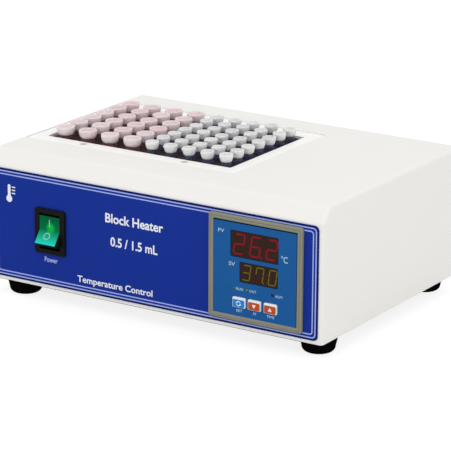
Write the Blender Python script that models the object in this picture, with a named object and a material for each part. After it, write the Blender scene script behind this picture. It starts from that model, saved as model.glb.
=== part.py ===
"""Dry block heater: a laboratory heater that warms small tubes in two drilled aluminium blocks.

Frame: the origin is under the middle of the whole object, on the bench. +X is to the right seen
from the front, +Y runs to the back and +Z is up. Every size is in millimetres in "case
coordinates" (x from the middle of the casing, y from the front panel's outer face, z from the
casing's lower edge); place() turns those into world metres.
"""

import math

import bmesh
import bpy
from mathutils import Matrix, Vector

MM = 0.001
GAP = 0.3  # clearance between pieces that touch or nest

# --- driving dimensions -------------------------------------------------------------------------
CASE_W, CASE_D, CASE_H = 268.6, 184.8, 92.8  # outside of the casing, without feet
STAND = 11.0  # the casing's lower edge above the bench
WALL = 1.5  # sheet thickness of the casing
FRONT_H = 82.1  # height of the upright part of the front
SHOULDER_D = 7.3  # how far the slope above it leans back
BEND_R = 3.0  # bends at both ends of the slope
CORNER_R = 2.5  # rounding of the casing's corners and top edges

WELL_X, WELL_Y = -45.0, 98.85  # middle of the heating well
WELL_W, WELL_D = 152.4, 97.2  # opening over the blocks
FRAME_SIDE, FRAME_END = 9.4, 12.0  # widths of the well frame's borders
FRAME_DROP = 0.3  # top of the well frame below the top of the casing
FRAME_T = 2.0
FRAME_GAP = 0.8  # gap between the well frame and its recess, both sides together

BLOCK_W, BLOCK_D, BLOCK_H = 75.6, 96.4, 44.0
BLOCK_DROP = 2.6  # top of the blocks below the top of the casing
BLOCK_SPACING = BLOCK_W + 0.4

SWITCH_X, SWITCH_Z = -81.8, 41.4
CONTROLLER_X, CONTROLLER_Z = 84.1, 41.9
CONTROLLER_SIZE = 72.0
INLET_X, INLET_Z = 84.0, 34.0

SWITCH_HOLE_W, SWITCH_HOLE_H = 22.6, 29.2  # openings in the front panel
CONTROLLER_HOLE = 68.0
FOOT_HOLE_R = 2.4
SCREW_HOLE_R = 1.6  # threaded hole for a casing screw
CLEAR_HOLE_R = 1.8  # plain hole that a casing screw passes through
SLOT_W = 4.0  # ventilation slots
CUT = 1.0  # how far a cutter reaches past the surface it opens

# Foot centres: in from the nearer side, and in from the front or rear face, whichever is nearer.
FOOT_INSETS = {
    "front_left": (19.5, 14.0),
    "front_right": (13.5, 18.7),
    "rear_left": (17.5, 13.0),
    "rear_right": (18.0, 12.5),
}
FOOT_TOP_R, FOOT_LOW_R, FOOT_ROUND = 12.6, 11.4, 4.0  # taper, and rounding of the lower edge
FOOT_RECESS_R, FOOT_RECESS, FOOT_BORE_R = 5.4, 4.6, 2.5  # hollow for the screw's head, and its hole

# --- sizes that follow from them ----------------------------------------------------------------
HALF_W = CASE_W / 2
OVERLAY_T = 0.3
OVERLAY_SIDE, OVERLAY_LOW, OVERLAY_H = 3.2, 2.4, 78.1  # margins beside and below it, and its height
OVERLAY_FACE = -(GAP + OVERLAY_T)  # y of the overlay's printed face
BEZEL_BACK = OVERLAY_FACE - GAP  # y where parts clipped over the overlay start
SWITCH_FACE = -2.6
CONTROLLER_FACE = -3.2

ROCKER_TILT = 17.75  # degrees each way from level
ROCKER_TIP_ANGLE = 58.0  # from straight ahead, with the rocker level
ROCKER_R = 11.5
ROCKER_DEPTH = 3.0  # pivot behind the switch's face
PIVOT_Y = SWITCH_FACE + ROCKER_DEPTH

FRONT_REACH = ROCKER_R * math.cos(math.radians(ROCKER_TIP_ANGLE - ROCKER_TILT)) - PIVOT_Y
REAR_REACH = 3.5  # fuse drawer's face behind the casing
FRONT_Y = FRONT_REACH - (CASE_D + FRONT_REACH + REAR_REACH) / 2

BLOCK_TOP = CASE_H - BLOCK_DROP
BLOCK_BASE = BLOCK_TOP - BLOCK_H
TRAY_WALL = 2.5
TRAY_FLOOR = 8.0
TRAY_W, TRAY_D = WELL_W - 0.2, WELL_D - 0.2  # inside the tray
TRAY_TOP = CASE_H - 5.0
TRAY_BASE = BLOCK_BASE - GAP - TRAY_FLOOR
MAT_W, MAT_D, MAT_T = 122.0, 86.0, 1.5
CLAMP_T = 2.0
CLAMP_BASE = TRAY_BASE - 2 * GAP - MAT_T - CLAMP_T
JACKET_T = 8.0
BRACKET_OUT, BRACKET_L = 66.0, 90.0  # webs of the tray brackets from the middle of the well
HEATER_TAB = (WELL_Y - 32.0, WELL_Y - 26.0)  # where the mat's tab for its lead comes out

BASE_T = 2.5  # base tray, from below the casing's edge to the flanges inside
BASE_DROP = 1.0
BASE_TOP = BASE_T - BASE_DROP
FLANGE_T = 1.5
SIDE_FLANGE = 20.6  # width of the casing's lower flanges, which the feet bolt to
REAR_FLANGE = 8.0


def place(x, y, z):
    """World position in metres of a point in case coordinates."""
    return Vector((x, y + FRONT_Y, z + STAND)) * MM


# --- materials ----------------------------------------------------------------------------------
def material(name, colour, roughness, metallic=0.0):
    """A Principled BSDF, made once and shared by the pieces that name it."""
    found = bpy.data.materials.get(name)
    if found:
        return found
    made = bpy.data.materials.new(name)
    made.use_nodes = True
    shader = made.node_tree.nodes["Principled BSDF"]
    shader.inputs["Base Color"].default_value = (*colour, 1.0)
    shader.inputs["Roughness"].default_value = roughness
    shader.inputs["Metallic"].default_value = metallic
    return made


def white_paint():
    return material("white_paint", (0.86, 0.86, 0.83), 0.42)


def blue_film():
    return material("blue_film", (0.012, 0.03, 0.28), 0.35)


def black_plastic():
    return material("black_plastic", (0.02, 0.02, 0.022), 0.45)


def beige_plastic():
    return material("beige_plastic", (0.30, 0.29, 0.22), 0.5)


def face_print():
    return material("face_print", (0.03, 0.11, 0.33), 0.4)


def display_window():
    return material("display_window", (0.04, 0.015, 0.01), 0.15)


def green_lens():
    return material("green_lens", (0.0, 0.35, 0.17), 0.2)


def azure_key():
    return material("azure_key", (0.01, 0.22, 0.68), 0.4)


def orange_key():
    return material("orange_key", (0.68, 0.09, 0.02), 0.4)


def aluminium():
    return material("aluminium", (0.62, 0.62, 0.63), 0.35, 1.0)


def dark_aluminium():
    return material("dark_aluminium", (0.10, 0.085, 0.075), 0.45, 1.0)


def zinc_steel():
    return material("zinc_steel", (0.55, 0.55, 0.53), 0.35, 1.0)


def brass():
    return material("brass", (0.72, 0.52, 0.22), 0.3, 1.0)


def rubber():
    return material("rubber", (0.012, 0.012, 0.012), 0.75)


def silicone():
    return material("silicone", (0.45, 0.12, 0.06), 0.6)


def ceramic_wool():
    return material("ceramic_wool", (0.80, 0.78, 0.72), 0.95)


def circuit_green():
    return material("circuit_green", (0.01, 0.16, 0.07), 0.4)


def fuse_glass():
    return material("fuse_glass", (0.80, 0.86, 0.86), 0.08)


# --- outlines -----------------------------------------------------------------------------------
def arc(cx, cy, r, start, end, steps):
    """Points on a circle between two angles in degrees, both ends included."""
    angles = [math.radians(start + (end - start) * i / steps) for i in range(steps + 1)]
    return [(cx + r * math.cos(a), cy + r * math.sin(a)) for a in angles]


def rounded_rect(cx, cy, w, h, r, steps=3):
    """A rectangle with round corners, counterclockwise."""
    dx, dy = w / 2 - r, h / 2 - r
    points = []
    for sx, sy, start in ((1, -1, -90), (1, 1, 0), (-1, 1, 90), (-1, -1, 180)):
        points += arc(cx + sx * dx, cy + sy * dy, r, start, start + 90, steps)
    return points


def circle(cx, cy, r, steps=16):
    return arc(cx, cy, r, 0, 360, steps)[:-1]


def fillet(before, corner, after, r, steps):
    """The corner of an outline, rounded with radius r where it turns."""
    corner = Vector(corner)
    a, b = (Vector(before) - corner).normalized(), (Vector(after) - corner).normalized()
    half = a.angle(b) / 2
    middle = corner + (a + b).normalized() * (r / math.sin(half))
    start = corner + a * (r / math.tan(half)) - middle
    turn = start.angle_signed(corner + b * (r / math.tan(half)) - middle)
    return [tuple(middle + Matrix.Rotation(-turn * i / steps, 2) @ start) for i in range(steps + 1)]


def shoulder(inset):
    """The two corners of the slope over the front, on a skin that lies inset inside the casing."""
    slope = Vector((SHOULDER_D, CASE_H - FRONT_H)).normalized()
    inward = Vector((slope.y, -slope.x))
    start = Vector((0, FRONT_H)) + inward * inset
    lower = start + slope * ((inset - start.x) / slope.x)
    upper = start + slope * ((CASE_H - inset - start.y) / slope.y)
    return tuple(lower), tuple(upper)


# --- solids -------------------------------------------------------------------------------------
AXES = {"X": (1, 2, 0), "Y": (0, 2, 1), "Z": (0, 1, 2)}


def solid(name, mesh, paint, pivot=(0, 0, 0)):
    """An object from a bmesh in case coordinates, with its origin at pivot."""
    bmesh.ops.recalc_face_normals(mesh, faces=mesh.faces)
    origin = place(*pivot)
    for vert in mesh.verts:
        vert.co = place(*vert.co) - origin
    data = bpy.data.meshes.new(name)
    mesh.to_mesh(data)
    mesh.free()
    data.materials.append(paint)
    made = bpy.data.objects.new(name, data)
    made.location = origin
    bpy.context.scene.collection.objects.link(made)
    return made


def prism(outline, axis, low, high):
    """The outline extruded along an axis; its points are the other two coordinates, in order."""
    u, v, w = AXES[axis]
    mesh = bmesh.new()
    verts = []
    for point in outline:
        co = [0.0, 0.0, 0.0]
        co[u], co[v], co[w] = point[0], point[1], low
        verts.append(mesh.verts.new(co))
    face = mesh.faces.new(verts)
    moved = bmesh.ops.extrude_face_region(mesh, geom=[face])["geom"]
    shift = Vector((0, 0, 0))
    shift[w] = high - low
    bmesh.ops.translate(
        mesh, verts=[e for e in moved if isinstance(e, bmesh.types.BMVert)], vec=shift
    )
    return mesh


def box(x, y, z):
    """A block between two values on each axis."""
    return prism([(x[0], y[0]), (x[1], y[0]), (x[1], y[1]), (x[0], y[1])], "Z", *z)


def turned(profile, axis, at, steps, ring=False):
    """A profile of (radius, distance along the axis) turned about a line through at.
    With ring, the profile closes on itself and leaves the axis open."""
    u, v, w = AXES[axis]
    mesh = bmesh.new()
    rows = []
    for r, d in profile:
        row = []
        for a in [0.0] if r == 0 else [2 * math.pi * i / steps for i in range(steps)]:
            co = list(at)
            co[u] += r * math.cos(a)
            co[v] += r * math.sin(a)
            co[w] += d
            row.append(mesh.verts.new(co))
        rows.append(row)
    pairs = list(zip(rows, rows[1:]))
    if ring:
        pairs.append((rows[-1], rows[0]))
    for low, high in pairs:
        for i in range(steps):
            j = (i + 1) % steps
            corners = [row[k % len(row)] for row, k in ((low, i), (low, j), (high, j), (high, i))]
            mesh.faces.new(list(dict.fromkeys(corners)))
    return mesh


def span(middle, size):
    """The two ends of a length about its middle."""
    return middle - size / 2, middle + size / 2


def holes(centres, r, axis, low, high, steps=12):
    """Round cutters along an axis, one at each centre."""
    return [prism(circle(u, v, r, steps), axis, low, high) for u, v in centres]


def joined(meshes):
    """Several separate bmeshes as one."""
    result = bmesh.new()
    for mesh in meshes:
        part = bpy.data.meshes.new("part")
        mesh.to_mesh(part)
        mesh.free()
        result.from_mesh(part)
        bpy.data.meshes.remove(part)
    return result


def combine(target, mesh, operation):
    """Boolean of an object with a bmesh in case coordinates. The other body isn't kept."""
    other = solid("tool", mesh, target.data.materials[0])
    modifier = target.modifiers.new("cut", "BOOLEAN")
    modifier.object = other
    modifier.operation = operation
    modifier.solver = "EXACT"
    bpy.context.view_layer.update()
    ready = target.evaluated_get(bpy.context.evaluated_depsgraph_get())
    old, tool_data = target.data, other.data
    target.data = bpy.data.meshes.new_from_object(ready)
    target.modifiers.clear()
    bpy.data.meshes.remove(old)
    bpy.data.objects.remove(other)
    bpy.data.meshes.remove(tool_data)
    target.data.name = target.name
    return target


def cut(target, *meshes):
    return combine(target, joined(meshes), "DIFFERENCE")


def add(target, mesh):
    return combine(target, mesh, "UNION")


def soften(target, width, steps=2, angle=35):
    """A bevel on every edge sharper than the angle."""
    bevel = target.modifiers.new("bevel", "BEVEL")
    bevel.width = width * MM
    bevel.segments = steps
    bevel.limit_method = "ANGLE"
    bevel.angle_limit = math.radians(angle)
    bevel.use_clamp_overlap = True
    return target


def slot_outline(cx, cy, length, width, steps=4):
    """A slot with round ends, along the outline's second coordinate."""
    r, reach = width / 2, (length - width) / 2
    return arc(cx, cy + reach, r, 0, 180, steps) + arc(cx, cy - reach, r, 180, 360, steps)


def screw(name, at, axis, head, thread, flat=False):
    """A cross-head screw with a head and a thread of given (radius, length). at is under the head
    and axis points from the head to the thread's end."""
    head_r, head_h = head
    shank_r, shank = thread
    way = 1 if axis[0] == "+" else -1
    line = axis[1]
    rim = head_h * (0.1 if flat else 0.45)
    crown = [(0, -head_h), (head_r * 0.72, -head_h), (head_r, -rim), (head_r, 0)]
    if flat:
        crown = [(0, -head_h), (head_r, -head_h), (head_r, rim - head_h)]
    body = crown + [(shank_r, 0), (shank_r, shank - shank_r / 2), (shank_r / 2, shank), (0, shank)]
    made = solid(name, turned([(r, d * way) for r, d in body], line, at, 12), zinc_steel())
    arm, bar = head_r * 0.62, head_r * 0.13
    cross = [
        (bar, bar), (bar, arm), (-bar, arm), (-bar, bar), (-arm, bar), (-arm, -bar),
        (-bar, -bar), (-bar, -arm), (bar, -arm), (bar, -bar), (arm, -bar), (arm, bar),
    ]
    u, v, w = AXES[line]
    cross = [(at[u] + p, at[v] + q) for p, q in cross]
    ends = sorted((at[w] - way * (head_h + 1), at[w] - way * head_h * 0.5))
    return cut(made, prism(cross, line, *ends))


def cable(name, points, radius, paint):
    """A round lead along smooth bends through the points, as one closed mesh."""
    path = bpy.data.curves.new(name, "CURVE")
    path.dimensions = "3D"
    path.resolution_u = 4
    path.bevel_depth = radius * MM
    path.bevel_resolution = 1
    path.use_fill_caps = True
    spline = path.splines.new("BEZIER")
    spline.bezier_points.add(len(points) - 1)
    for knot, point in zip(spline.bezier_points, points):
        knot.co = place(*point)
        knot.handle_left_type = knot.handle_right_type = "AUTO"
    curve = bpy.data.objects.new(name + "_path", path)
    bpy.context.scene.collection.objects.link(curve)
    bpy.context.view_layer.update()
    graph = bpy.context.evaluated_depsgraph_get()
    data = bpy.data.meshes.new_from_object(curve.evaluated_get(graph))
    bpy.data.objects.remove(curve)
    bpy.data.curves.remove(path)
    mesh = bmesh.new()
    mesh.from_mesh(data)
    bmesh.ops.remove_doubles(mesh, verts=mesh.verts, dist=1e-6)
    bmesh.ops.recalc_face_normals(mesh, faces=mesh.faces)
    mesh.to_mesh(data)
    mesh.free()
    data.name = name
    data.materials.clear()
    data.materials.append(paint)
    made = bpy.data.objects.new(name, data)
    bpy.context.scene.collection.objects.link(made)
    return made


# --- casing -------------------------------------------------------------------------------------
def foot_centres():
    """Name, x and y of each foot."""
    for name, (side_in, end_in) in FOOT_INSETS.items():
        x = HALF_W - side_in
        y = CASE_D - end_in if name.startswith("rear") else end_in
        yield name, -x if name.endswith("left") else x, y


def foot_hole_centres():
    return [(x, y) for _, x, y in foot_centres()]


def rear_screw_centres():
    side = HALF_W - WALL - REAR_FLANGE / 2
    return [(x, z) for z in (18.0, 76.0) for x in (-side, side)]


def inlet_screw_centres():
    return [(x, INLET_Z) for x in span(INLET_X, INLET_SCREW_SPACING)]


def frame_screw_centres():
    border = (WELL_D + FRAME_END) / 2 - 1.4  # a little nearer the well than the border's middle
    return [(WELL_X + dx, WELL_Y + dy) for dy in (-border, border) for dx in (-42.0, 42.0)]


def case_mesh():
    """The casing's outer form: its side view drawn across X, with the side edges rounded."""
    lower, upper = shoulder(0)
    outline = [(0, 0)]
    outline += fillet((0, 0), lower, upper, BEND_R, 3)
    outline += fillet(lower, upper, (CASE_D, CASE_H), BEND_R, 3)
    outline += [(CASE_D, CASE_H), (CASE_D, 0)]
    mesh = prism(outline, "X", -HALF_W, HALF_W)
    rounded = []
    for edge in mesh.edges:
        a, b = (vert.co for vert in edge.verts)
        on_side = abs(a.x - b.x) < 1e-6
        on_bottom = max(a.z, b.z) < 1e-6
        on_rear = min(a.y, b.y) > CASE_D - 1e-6
        if on_side and not on_bottom and not on_rear:
            rounded.append(edge)
    bmesh.ops.bevel(
        mesh, geom=rounded, offset=CORNER_R, segments=4, profile=0.5, affect="EDGES"
    )
    return mesh


def panel_openings(front, back):
    """Cutters for the switch and the controller, through the front panel or the film on it."""
    return [
        box(span(SWITCH_X, SWITCH_HOLE_W), (front, back), span(SWITCH_Z, SWITCH_HOLE_H)),
        box(span(CONTROLLER_X, CONTROLLER_HOLE), (front, back), span(CONTROLLER_Z, CONTROLLER_HOLE)),
    ]


def upper_housing():
    case = solid("upper_housing", case_mesh(), white_paint())
    inner = HALF_W - WALL
    seat_y = CASE_D - FLANGE_T - 2 * GAP  # front face of the rear panel's seat
    flange_y = seat_y - FLANGE_T
    floor = BASE_TOP + GAP + FLANGE_T
    lower, upper = shoulder(WALL)
    cavity = [(WALL, floor), lower, upper, (flange_y, CASE_H - WALL), (flange_y, floor)]
    cut(case, prism(cavity, "X", -inner, inner))
    cut(case, box((-inner, inner), (WALL, CASE_D + CUT), (-CUT, BASE_TOP + GAP)))
    # windows that leave flanges round the bottom and the rear
    bottom = inner - SIDE_FLANGE
    cut(case, box((-bottom, bottom), (WALL + REAR_FLANGE, flange_y), (0, floor + CUT)))
    rear, rear_top = inner - REAR_FLANGE, CASE_H - WALL - REAR_FLANGE
    cut(case, box((-rear, rear), (flange_y - CUT, seat_y + CUT), (0, rear_top)))
    cut(case, box((-inner, inner), (seat_y, CASE_D + CUT), (0, CASE_H - WALL)))
    # the top is pressed down round the well, to carry the well frame
    frame_w, frame_d = WELL_W + 2 * FRAME_SIDE, WELL_D + 2 * FRAME_END
    seat = CASE_H - FRAME_DROP - FRAME_T - GAP
    rim = rounded_rect(WELL_X, WELL_Y, frame_w + 2 * WALL, frame_d + 2 * WALL, 3.0)
    recess = rounded_rect(WELL_X, WELL_Y, frame_w + FRAME_GAP, frame_d + FRAME_GAP, 2.4)
    hole = rounded_rect(WELL_X, WELL_Y, WELL_W + 4.0, WELL_D + 3.0, 2.0)
    add(case, prism(rim, "Z", seat - FLANGE_T, CASE_H - GAP))
    cut(case, prism(recess, "Z", seat, CASE_H + CUT))
    cut(case, prism(hole, "Z", seat - FLANGE_T - CUT, CASE_H))
    low = seat - FLANGE_T - CUT
    cut(case, *holes(frame_screw_centres(), SCREW_HOLE_R, "Z", low, CASE_H))
    cut(case, *panel_openings(-CUT, WALL + CUT))
    feet_holes = holes(foot_hole_centres(), FOOT_HOLE_R, "Z", 0, floor + CUT)
    rear_holes = holes(rear_screw_centres(), SCREW_HOLE_R, "Y", flange_y - CUT, seat_y + CUT)
    cut(case, *feet_holes, *rear_holes)


def base_plate():
    edge = HALF_W - WALL - GAP
    ends = (WALL + GAP, CASE_D - FLANGE_T - 2 * GAP)
    plate = solid("base_plate", box((-edge, edge), ends, (-BASE_DROP, BASE_TOP)), zinc_steel())
    low, high = -BASE_DROP - CUT, BASE_TOP + CUT
    slots = [
        prism(slot_outline(WELL_X + group + step, WELL_Y, 46.0, SLOT_W), "Z", low, high)
        for group in (-40.0, 40.0)
        for step in (-22.5, -13.5, -4.5, 4.5, 13.5, 22.5)
    ]
    cut(plate, *slots, *holes(foot_hole_centres(), FOOT_HOLE_R, "Z", low, high))


def rear_panel():
    edge = HALF_W - WALL - GAP
    front, back = CASE_D - GAP - FLANGE_T, CASE_D - GAP
    heights = (-BASE_DROP, CASE_H - WALL - GAP)
    panel = solid("rear_panel", box((-edge, edge), (front, back), heights), white_paint())
    front, back = front - CUT, back + CUT
    slots = [
        prism(slot_outline(-95.0 + 11.0 * i, CASE_H / 2, 34.0, SLOT_W), "Y", front, back)
        for i in range(10)
    ]
    screws = rear_screw_centres() + inlet_screw_centres()
    inlet = box(
        span(INLET_X, INLET_BODY_W + 0.8), (front, back), span(INLET_Z, INLET_BODY_H + 0.8)
    )
    cut(panel, *slots, *holes(screws, CLEAR_HOLE_R, "Y", front, back), inlet)


def front_overlay():
    outline = rounded_rect(0, OVERLAY_LOW + OVERLAY_H / 2, CASE_W - 2 * OVERLAY_SIDE, OVERLAY_H, 3.5, 4)
    film = solid("front_overlay", prism(outline, "Y", OVERLAY_FACE, -GAP), blue_film())
    cut(film, *panel_openings(OVERLAY_FACE - CUT, CUT))


def well_frame():
    top = CASE_H - FRAME_DROP
    low, high = top - FRAME_T, top
    outer = rounded_rect(WELL_X, WELL_Y, WELL_W + 2 * FRAME_SIDE, WELL_D + 2 * FRAME_END, 2.0)
    frame = solid("well_frame", prism(outer, "Z", low, high), white_paint())
    opening = rounded_rect(WELL_X, WELL_Y, WELL_W, WELL_D, 1.5)
    cut(frame, prism(opening, "Z", low - CUT, high + CUT))
    cut(frame, *holes(frame_screw_centres(), CLEAR_HOLE_R, "Z", low - CUT, high + CUT))
    cut(frame, *holes(frame_screw_centres(), 2.6, "Z", top - 0.9, top + CUT))


def casing_screws():
    top = CASE_H - FRAME_DROP
    for i, (x, y) in enumerate(frame_screw_centres(), 1):
        at = (x, y, top - 0.6)
        screw(f"well_frame_screw_{i}", at, "-Z", (2.3, 0.6), (1.25, 6.0), flat=True)
    for i, (x, z) in enumerate(rear_screw_centres(), 1):
        screw(f"rear_panel_screw_{i}", (x, CASE_D, z), "-Y", (2.8, 1.8), (1.25, 8.0))
    for i, (x, z) in enumerate(inlet_screw_centres(), 1):
        at = (x, CASE_D + INLET_FLANGE_T, z)
        screw(f"inlet_screw_{i}", at, "-Y", (2.5, 0.7), (1.4, 9.0), flat=True)


def feet():
    """Tapered rubber feet, each a ring round a screw that sits up in its hollow."""
    top = -BASE_DROP - GAP
    low, recess = -STAND, FOOT_RECESS - STAND
    ring = FOOT_LOW_R - FOOT_ROUND
    profile = [(FOOT_BORE_R, top), (FOOT_TOP_R, top)]
    profile += arc(ring, low + FOOT_ROUND, FOOT_ROUND, 0, -90, 4)
    profile += [(FOOT_RECESS_R, low), (FOOT_RECESS_R, recess), (FOOT_BORE_R, recess)]
    for name, x, y in foot_centres():
        solid(f"foot_{name}", turned(profile, "Z", (x, y, 0), 20, ring=True), rubber())
        screw(f"foot_screw_{name}", (x, y, recess - GAP), "+Z", (4.2, 2.6), (1.9, 11.4))


# --- heating section ----------------------------------------------------------------------------
def heating_block(name, side, columns, rows, well_r, straight, depth):
    """An aluminium block with a grid of blind drilled wells for one size of tube."""
    x, y = WELL_X + side * BLOCK_SPACING / 2, WELL_Y
    outline = rounded_rect(x, y, BLOCK_W, BLOCK_D, 1.0, 2)
    body = prism(outline, "Z", BLOCK_BASE, BLOCK_TOP)
    block = solid(name, body, dark_aluminium(), (x, y, BLOCK_BASE))
    profile = [(0, CUT), (well_r, CUT), (well_r, -straight), (0, -depth)]
    pitch_x, pitch_y = BLOCK_W / columns, BLOCK_D / rows
    wells = [
        turned(
            profile,
            "Z",
            (x + (i - (columns - 1) / 2) * pitch_x, y + (j - (rows - 1) / 2) * pitch_y, BLOCK_TOP),
            12,
        )
        for i in range(columns)
        for j in range(rows)
    ]
    cut(block, *wells)


def heating_tray():
    """The cast tray that the blocks stand in; the heater is clamped under its floor."""
    w, d = TRAY_W + 2 * TRAY_WALL, TRAY_D + 2 * TRAY_WALL
    outer = rounded_rect(WELL_X, WELL_Y, w, d, 3.0)
    tray = solid("heating_tray", prism(outer, "Z", TRAY_BASE, TRAY_TOP), aluminium())
    inner = rounded_rect(WELL_X, WELL_Y, TRAY_W, TRAY_D, 0.6, 2)
    cut(tray, prism(inner, "Z", TRAY_BASE + TRAY_FLOOR, TRAY_TOP + CUT))
    right = WELL_X + w / 2
    probe_hole = circle(WELL_Y, TRAY_BASE + TRAY_FLOOR / 2, 2.3, 12)
    cut(tray, prism(probe_hole, "X", right - 32.0, right + CUT))


def heater():
    mat_top = TRAY_BASE - GAP
    low = mat_top - MAT_T
    outline = rounded_rect(WELL_X, WELL_Y, MAT_W, MAT_D, 4.0)
    mat = solid("heater_mat", prism(outline, "Z", low, mat_top), silicone())
    right = WELL_X + MAT_W / 2
    add(mat, box((right - CUT, right + 6.0), HEATER_TAB, (low + 0.2, mat_top - 0.2)))
    plate = rounded_rect(WELL_X, WELL_Y, MAT_W, MAT_D, 3.0)
    solid("heater_clamp_plate", prism(plate, "Z", CLAMP_BASE, CLAMP_BASE + CLAMP_T), zinc_steel())


def insulation_jacket():
    """A fibre box round the tray, open at the top and slotted for the brackets and the leads."""
    inner_w, inner_d = TRAY_W + 2 * TRAY_WALL + 2 * GAP, TRAY_D + 2 * TRAY_WALL + 2 * GAP
    floor = CLAMP_BASE - GAP
    outer = rounded_rect(WELL_X, WELL_Y, inner_w + 2 * JACKET_T, inner_d + 2 * JACKET_T, 6.0)
    body = prism(outer, "Z", floor - JACKET_T, TRAY_TOP - 5)
    jacket = solid("insulation_jacket", body, ceramic_wool())
    cut(jacket, box(span(WELL_X, inner_w), span(WELL_Y, inner_d), (floor, TRAY_TOP + CUT)))
    through_floor = (floor - JACKET_T - CUT, floor + CUT)
    for side in (-1, 1):
        x = WELL_X + side * BRACKET_OUT
        cut(jacket, box(span(x, 9.0), span(WELL_Y, BRACKET_L + 2), through_floor))
    cut(jacket, prism(circle(WELL_X, WELL_Y, 9.5, 16), "Z", *through_floor))
    # ways out through the right wall for the temperature probe and the heater's lead
    right = WELL_X + inner_w / 2
    through_wall = (right - CUT, right + JACKET_T + CUT)
    cut(jacket, prism(circle(WELL_Y, TRAY_BASE + TRAY_FLOOR / 2, 3.2, 12), "X", *through_wall))
    lead_z = TRAY_BASE - GAP - MAT_T / 2
    cut(jacket, box(through_wall, HEATER_TAB, (lead_z - 4.0, lead_z + 2.0)))


def tray_brackets():
    """Two folded rails that hold the tray above the base."""
    top, low = TRAY_BASE - GAP, BASE_TOP + GAP
    t, half = 1.5, 4.0
    fold = [
        (-half, low), (t / 2, low), (t / 2, top - t), (half, top - t),
        (half, top), (-t / 2, top), (-t / 2, low + t), (-half, low + t),
    ]
    for hand, side in (("left", -1), ("right", 1)):
        x = WELL_X + side * BRACKET_OUT
        section = [(x + side * across, up) for across, up in fold]
        rail = prism(section, "Y", *span(WELL_Y, BRACKET_L))
        rail = solid(f"tray_bracket_{hand}", rail, zinc_steel())
        middle = (top + low) / 2
        cut(rail, *[
            prism(slot_outline(WELL_Y + dy, middle, 16.0, 8.0), "X", *span(x, 6.0))
            for dy in (-12, 24)
        ])
        cut(rail, box(span(x, 12.0), (HEATER_TAB[0] - 1, HEATER_TAB[1] + 1), (top - 7, top + CUT)))


def temperature_probe():
    right = WELL_X + TRAY_W / 2 + TRAY_WALL
    at = (right, WELL_Y, TRAY_BASE + TRAY_FLOOR / 2)
    profile = [(0, -31.0), (1.4, -31.0), (2.0, -30.4), (2.0, 2.0), (2.7, 2.0), (2.7, 10.0)]
    profile += [(1.2, 10.6), (1.2, 16.0), (0, 16.0)]
    solid("temperature_probe", turned(profile, "X", at, 12), zinc_steel())


def thermal_cutout():
    """A bimetal switch under the clamp plate that cuts the heater off if it overheats."""
    top = CLAMP_BASE - GAP
    rim, base = top - 2.0, top - 8.0
    profile = [(0, top), (8.0, top), (8.0, rim), (6.6, rim), (6.6, base), (0, base)]
    body = solid("thermal_cutout", turned(profile, "Z", (WELL_X, WELL_Y, 0), 16), black_plastic())
    for x in span(WELL_X, 8.0):
        add(body, box(span(x, 0.8), span(WELL_Y, 6.0), (base - 7.0, base + CUT)))


# --- temperature controller ---------------------------------------------------------------------
FACE_LEFT, FACE_RIGHT, FACE_LOW, FACE_HIGH = 3.4, 68.0, 3.0, 67.6  # opening in the bezel
FACE_FRONT, FACE_BACK = CONTROLLER_FACE + 0.5, CONTROLLER_FACE + 1.7
PV_WINDOW = ((16.9, 54.0), (44.1, 62.3))
SV_WINDOW = ((24.1, 53.7), (27.4, 41.4))
KEYS = {"set_button": 24.3, "down_button": 36.2, "up_button": 48.5}
KEY_W, KEY_H, KEY_Z = 10.0, 7.2, 13.3
LAMPS = {"run_lamp": 19.6, "output_lamp": 29.7, "alarm_lamp": 49.6}
LAMP_Z = 22.6
BOARD_Y = 6.0


def dial(x, z):
    """A point on the controller's front, measured from its lower left corner."""
    return CONTROLLER_X - CONTROLLER_SIZE / 2 + x, CONTROLLER_Z - CONTROLLER_SIZE / 2 + z


def dial_rect(xs, zs, grow, r):
    """A round-cornered rectangle on the controller's front, grown by a margin."""
    cx, cz = dial(sum(xs) / 2, sum(zs) / 2)
    return rounded_rect(cx, cz, xs[1] - xs[0] + 2 * grow, zs[1] - zs[0] + 2 * grow, r, 2)


def controller():
    outline = rounded_rect(CONTROLLER_X, CONTROLLER_Z, CONTROLLER_SIZE, CONTROLLER_SIZE, 1.6)
    bezel = prism(outline, "Y", CONTROLLER_FACE, BEZEL_BACK)
    bezel = solid("controller_bezel", bezel, beige_plastic())
    opening = ((FACE_LEFT, FACE_RIGHT), (FACE_LOW, FACE_HIGH))
    through = (CONTROLLER_FACE - CUT, BEZEL_BACK + CUT)
    cut(bezel, prism(dial_rect(*opening, 0, 1.2), "Y", *through))

    panel = prism(dial_rect(*opening, -GAP, 1.0), "Y", FACE_FRONT, FACE_BACK)
    face = solid("controller_face", panel, face_print())
    through = (FACE_FRONT - CUT, FACE_BACK + CUT)
    windows = [prism(dial_rect(*w, 0, 0.8), "Y", *through) for w in (PV_WINDOW, SV_WINDOW)]
    keys = [
        prism(dial_rect(span(x, KEY_W), span(KEY_Z, KEY_H), GAP, 1.1), "Y", *through)
        for x in KEYS.values()
    ]
    lamps = holes([dial(x, LAMP_Z) for x in LAMPS.values()], 1.1, "Y", *through, 10)
    cut(face, *windows, *keys, *lamps)

    board_face = BOARD_Y - GAP
    for name, window in (("pv_display", PV_WINDOW), ("sv_display", SV_WINDOW)):
        display = prism(dial_rect(*window, -GAP, 0.6), "Y", FACE_FRONT + 0.35, board_face)
        solid(name, display, display_window())
    for name, x in LAMPS.items():
        cx, cz = dial(x, LAMP_Z)
        front = FACE_FRONT - 0.2
        length = board_face - front
        lens = [(0, 0), (0.55, 0), (0.8, 0.3), (0.8, length), (0, length)]
        solid(name, turned(lens, "Y", (cx, front, cz), 10), green_lens())


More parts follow.
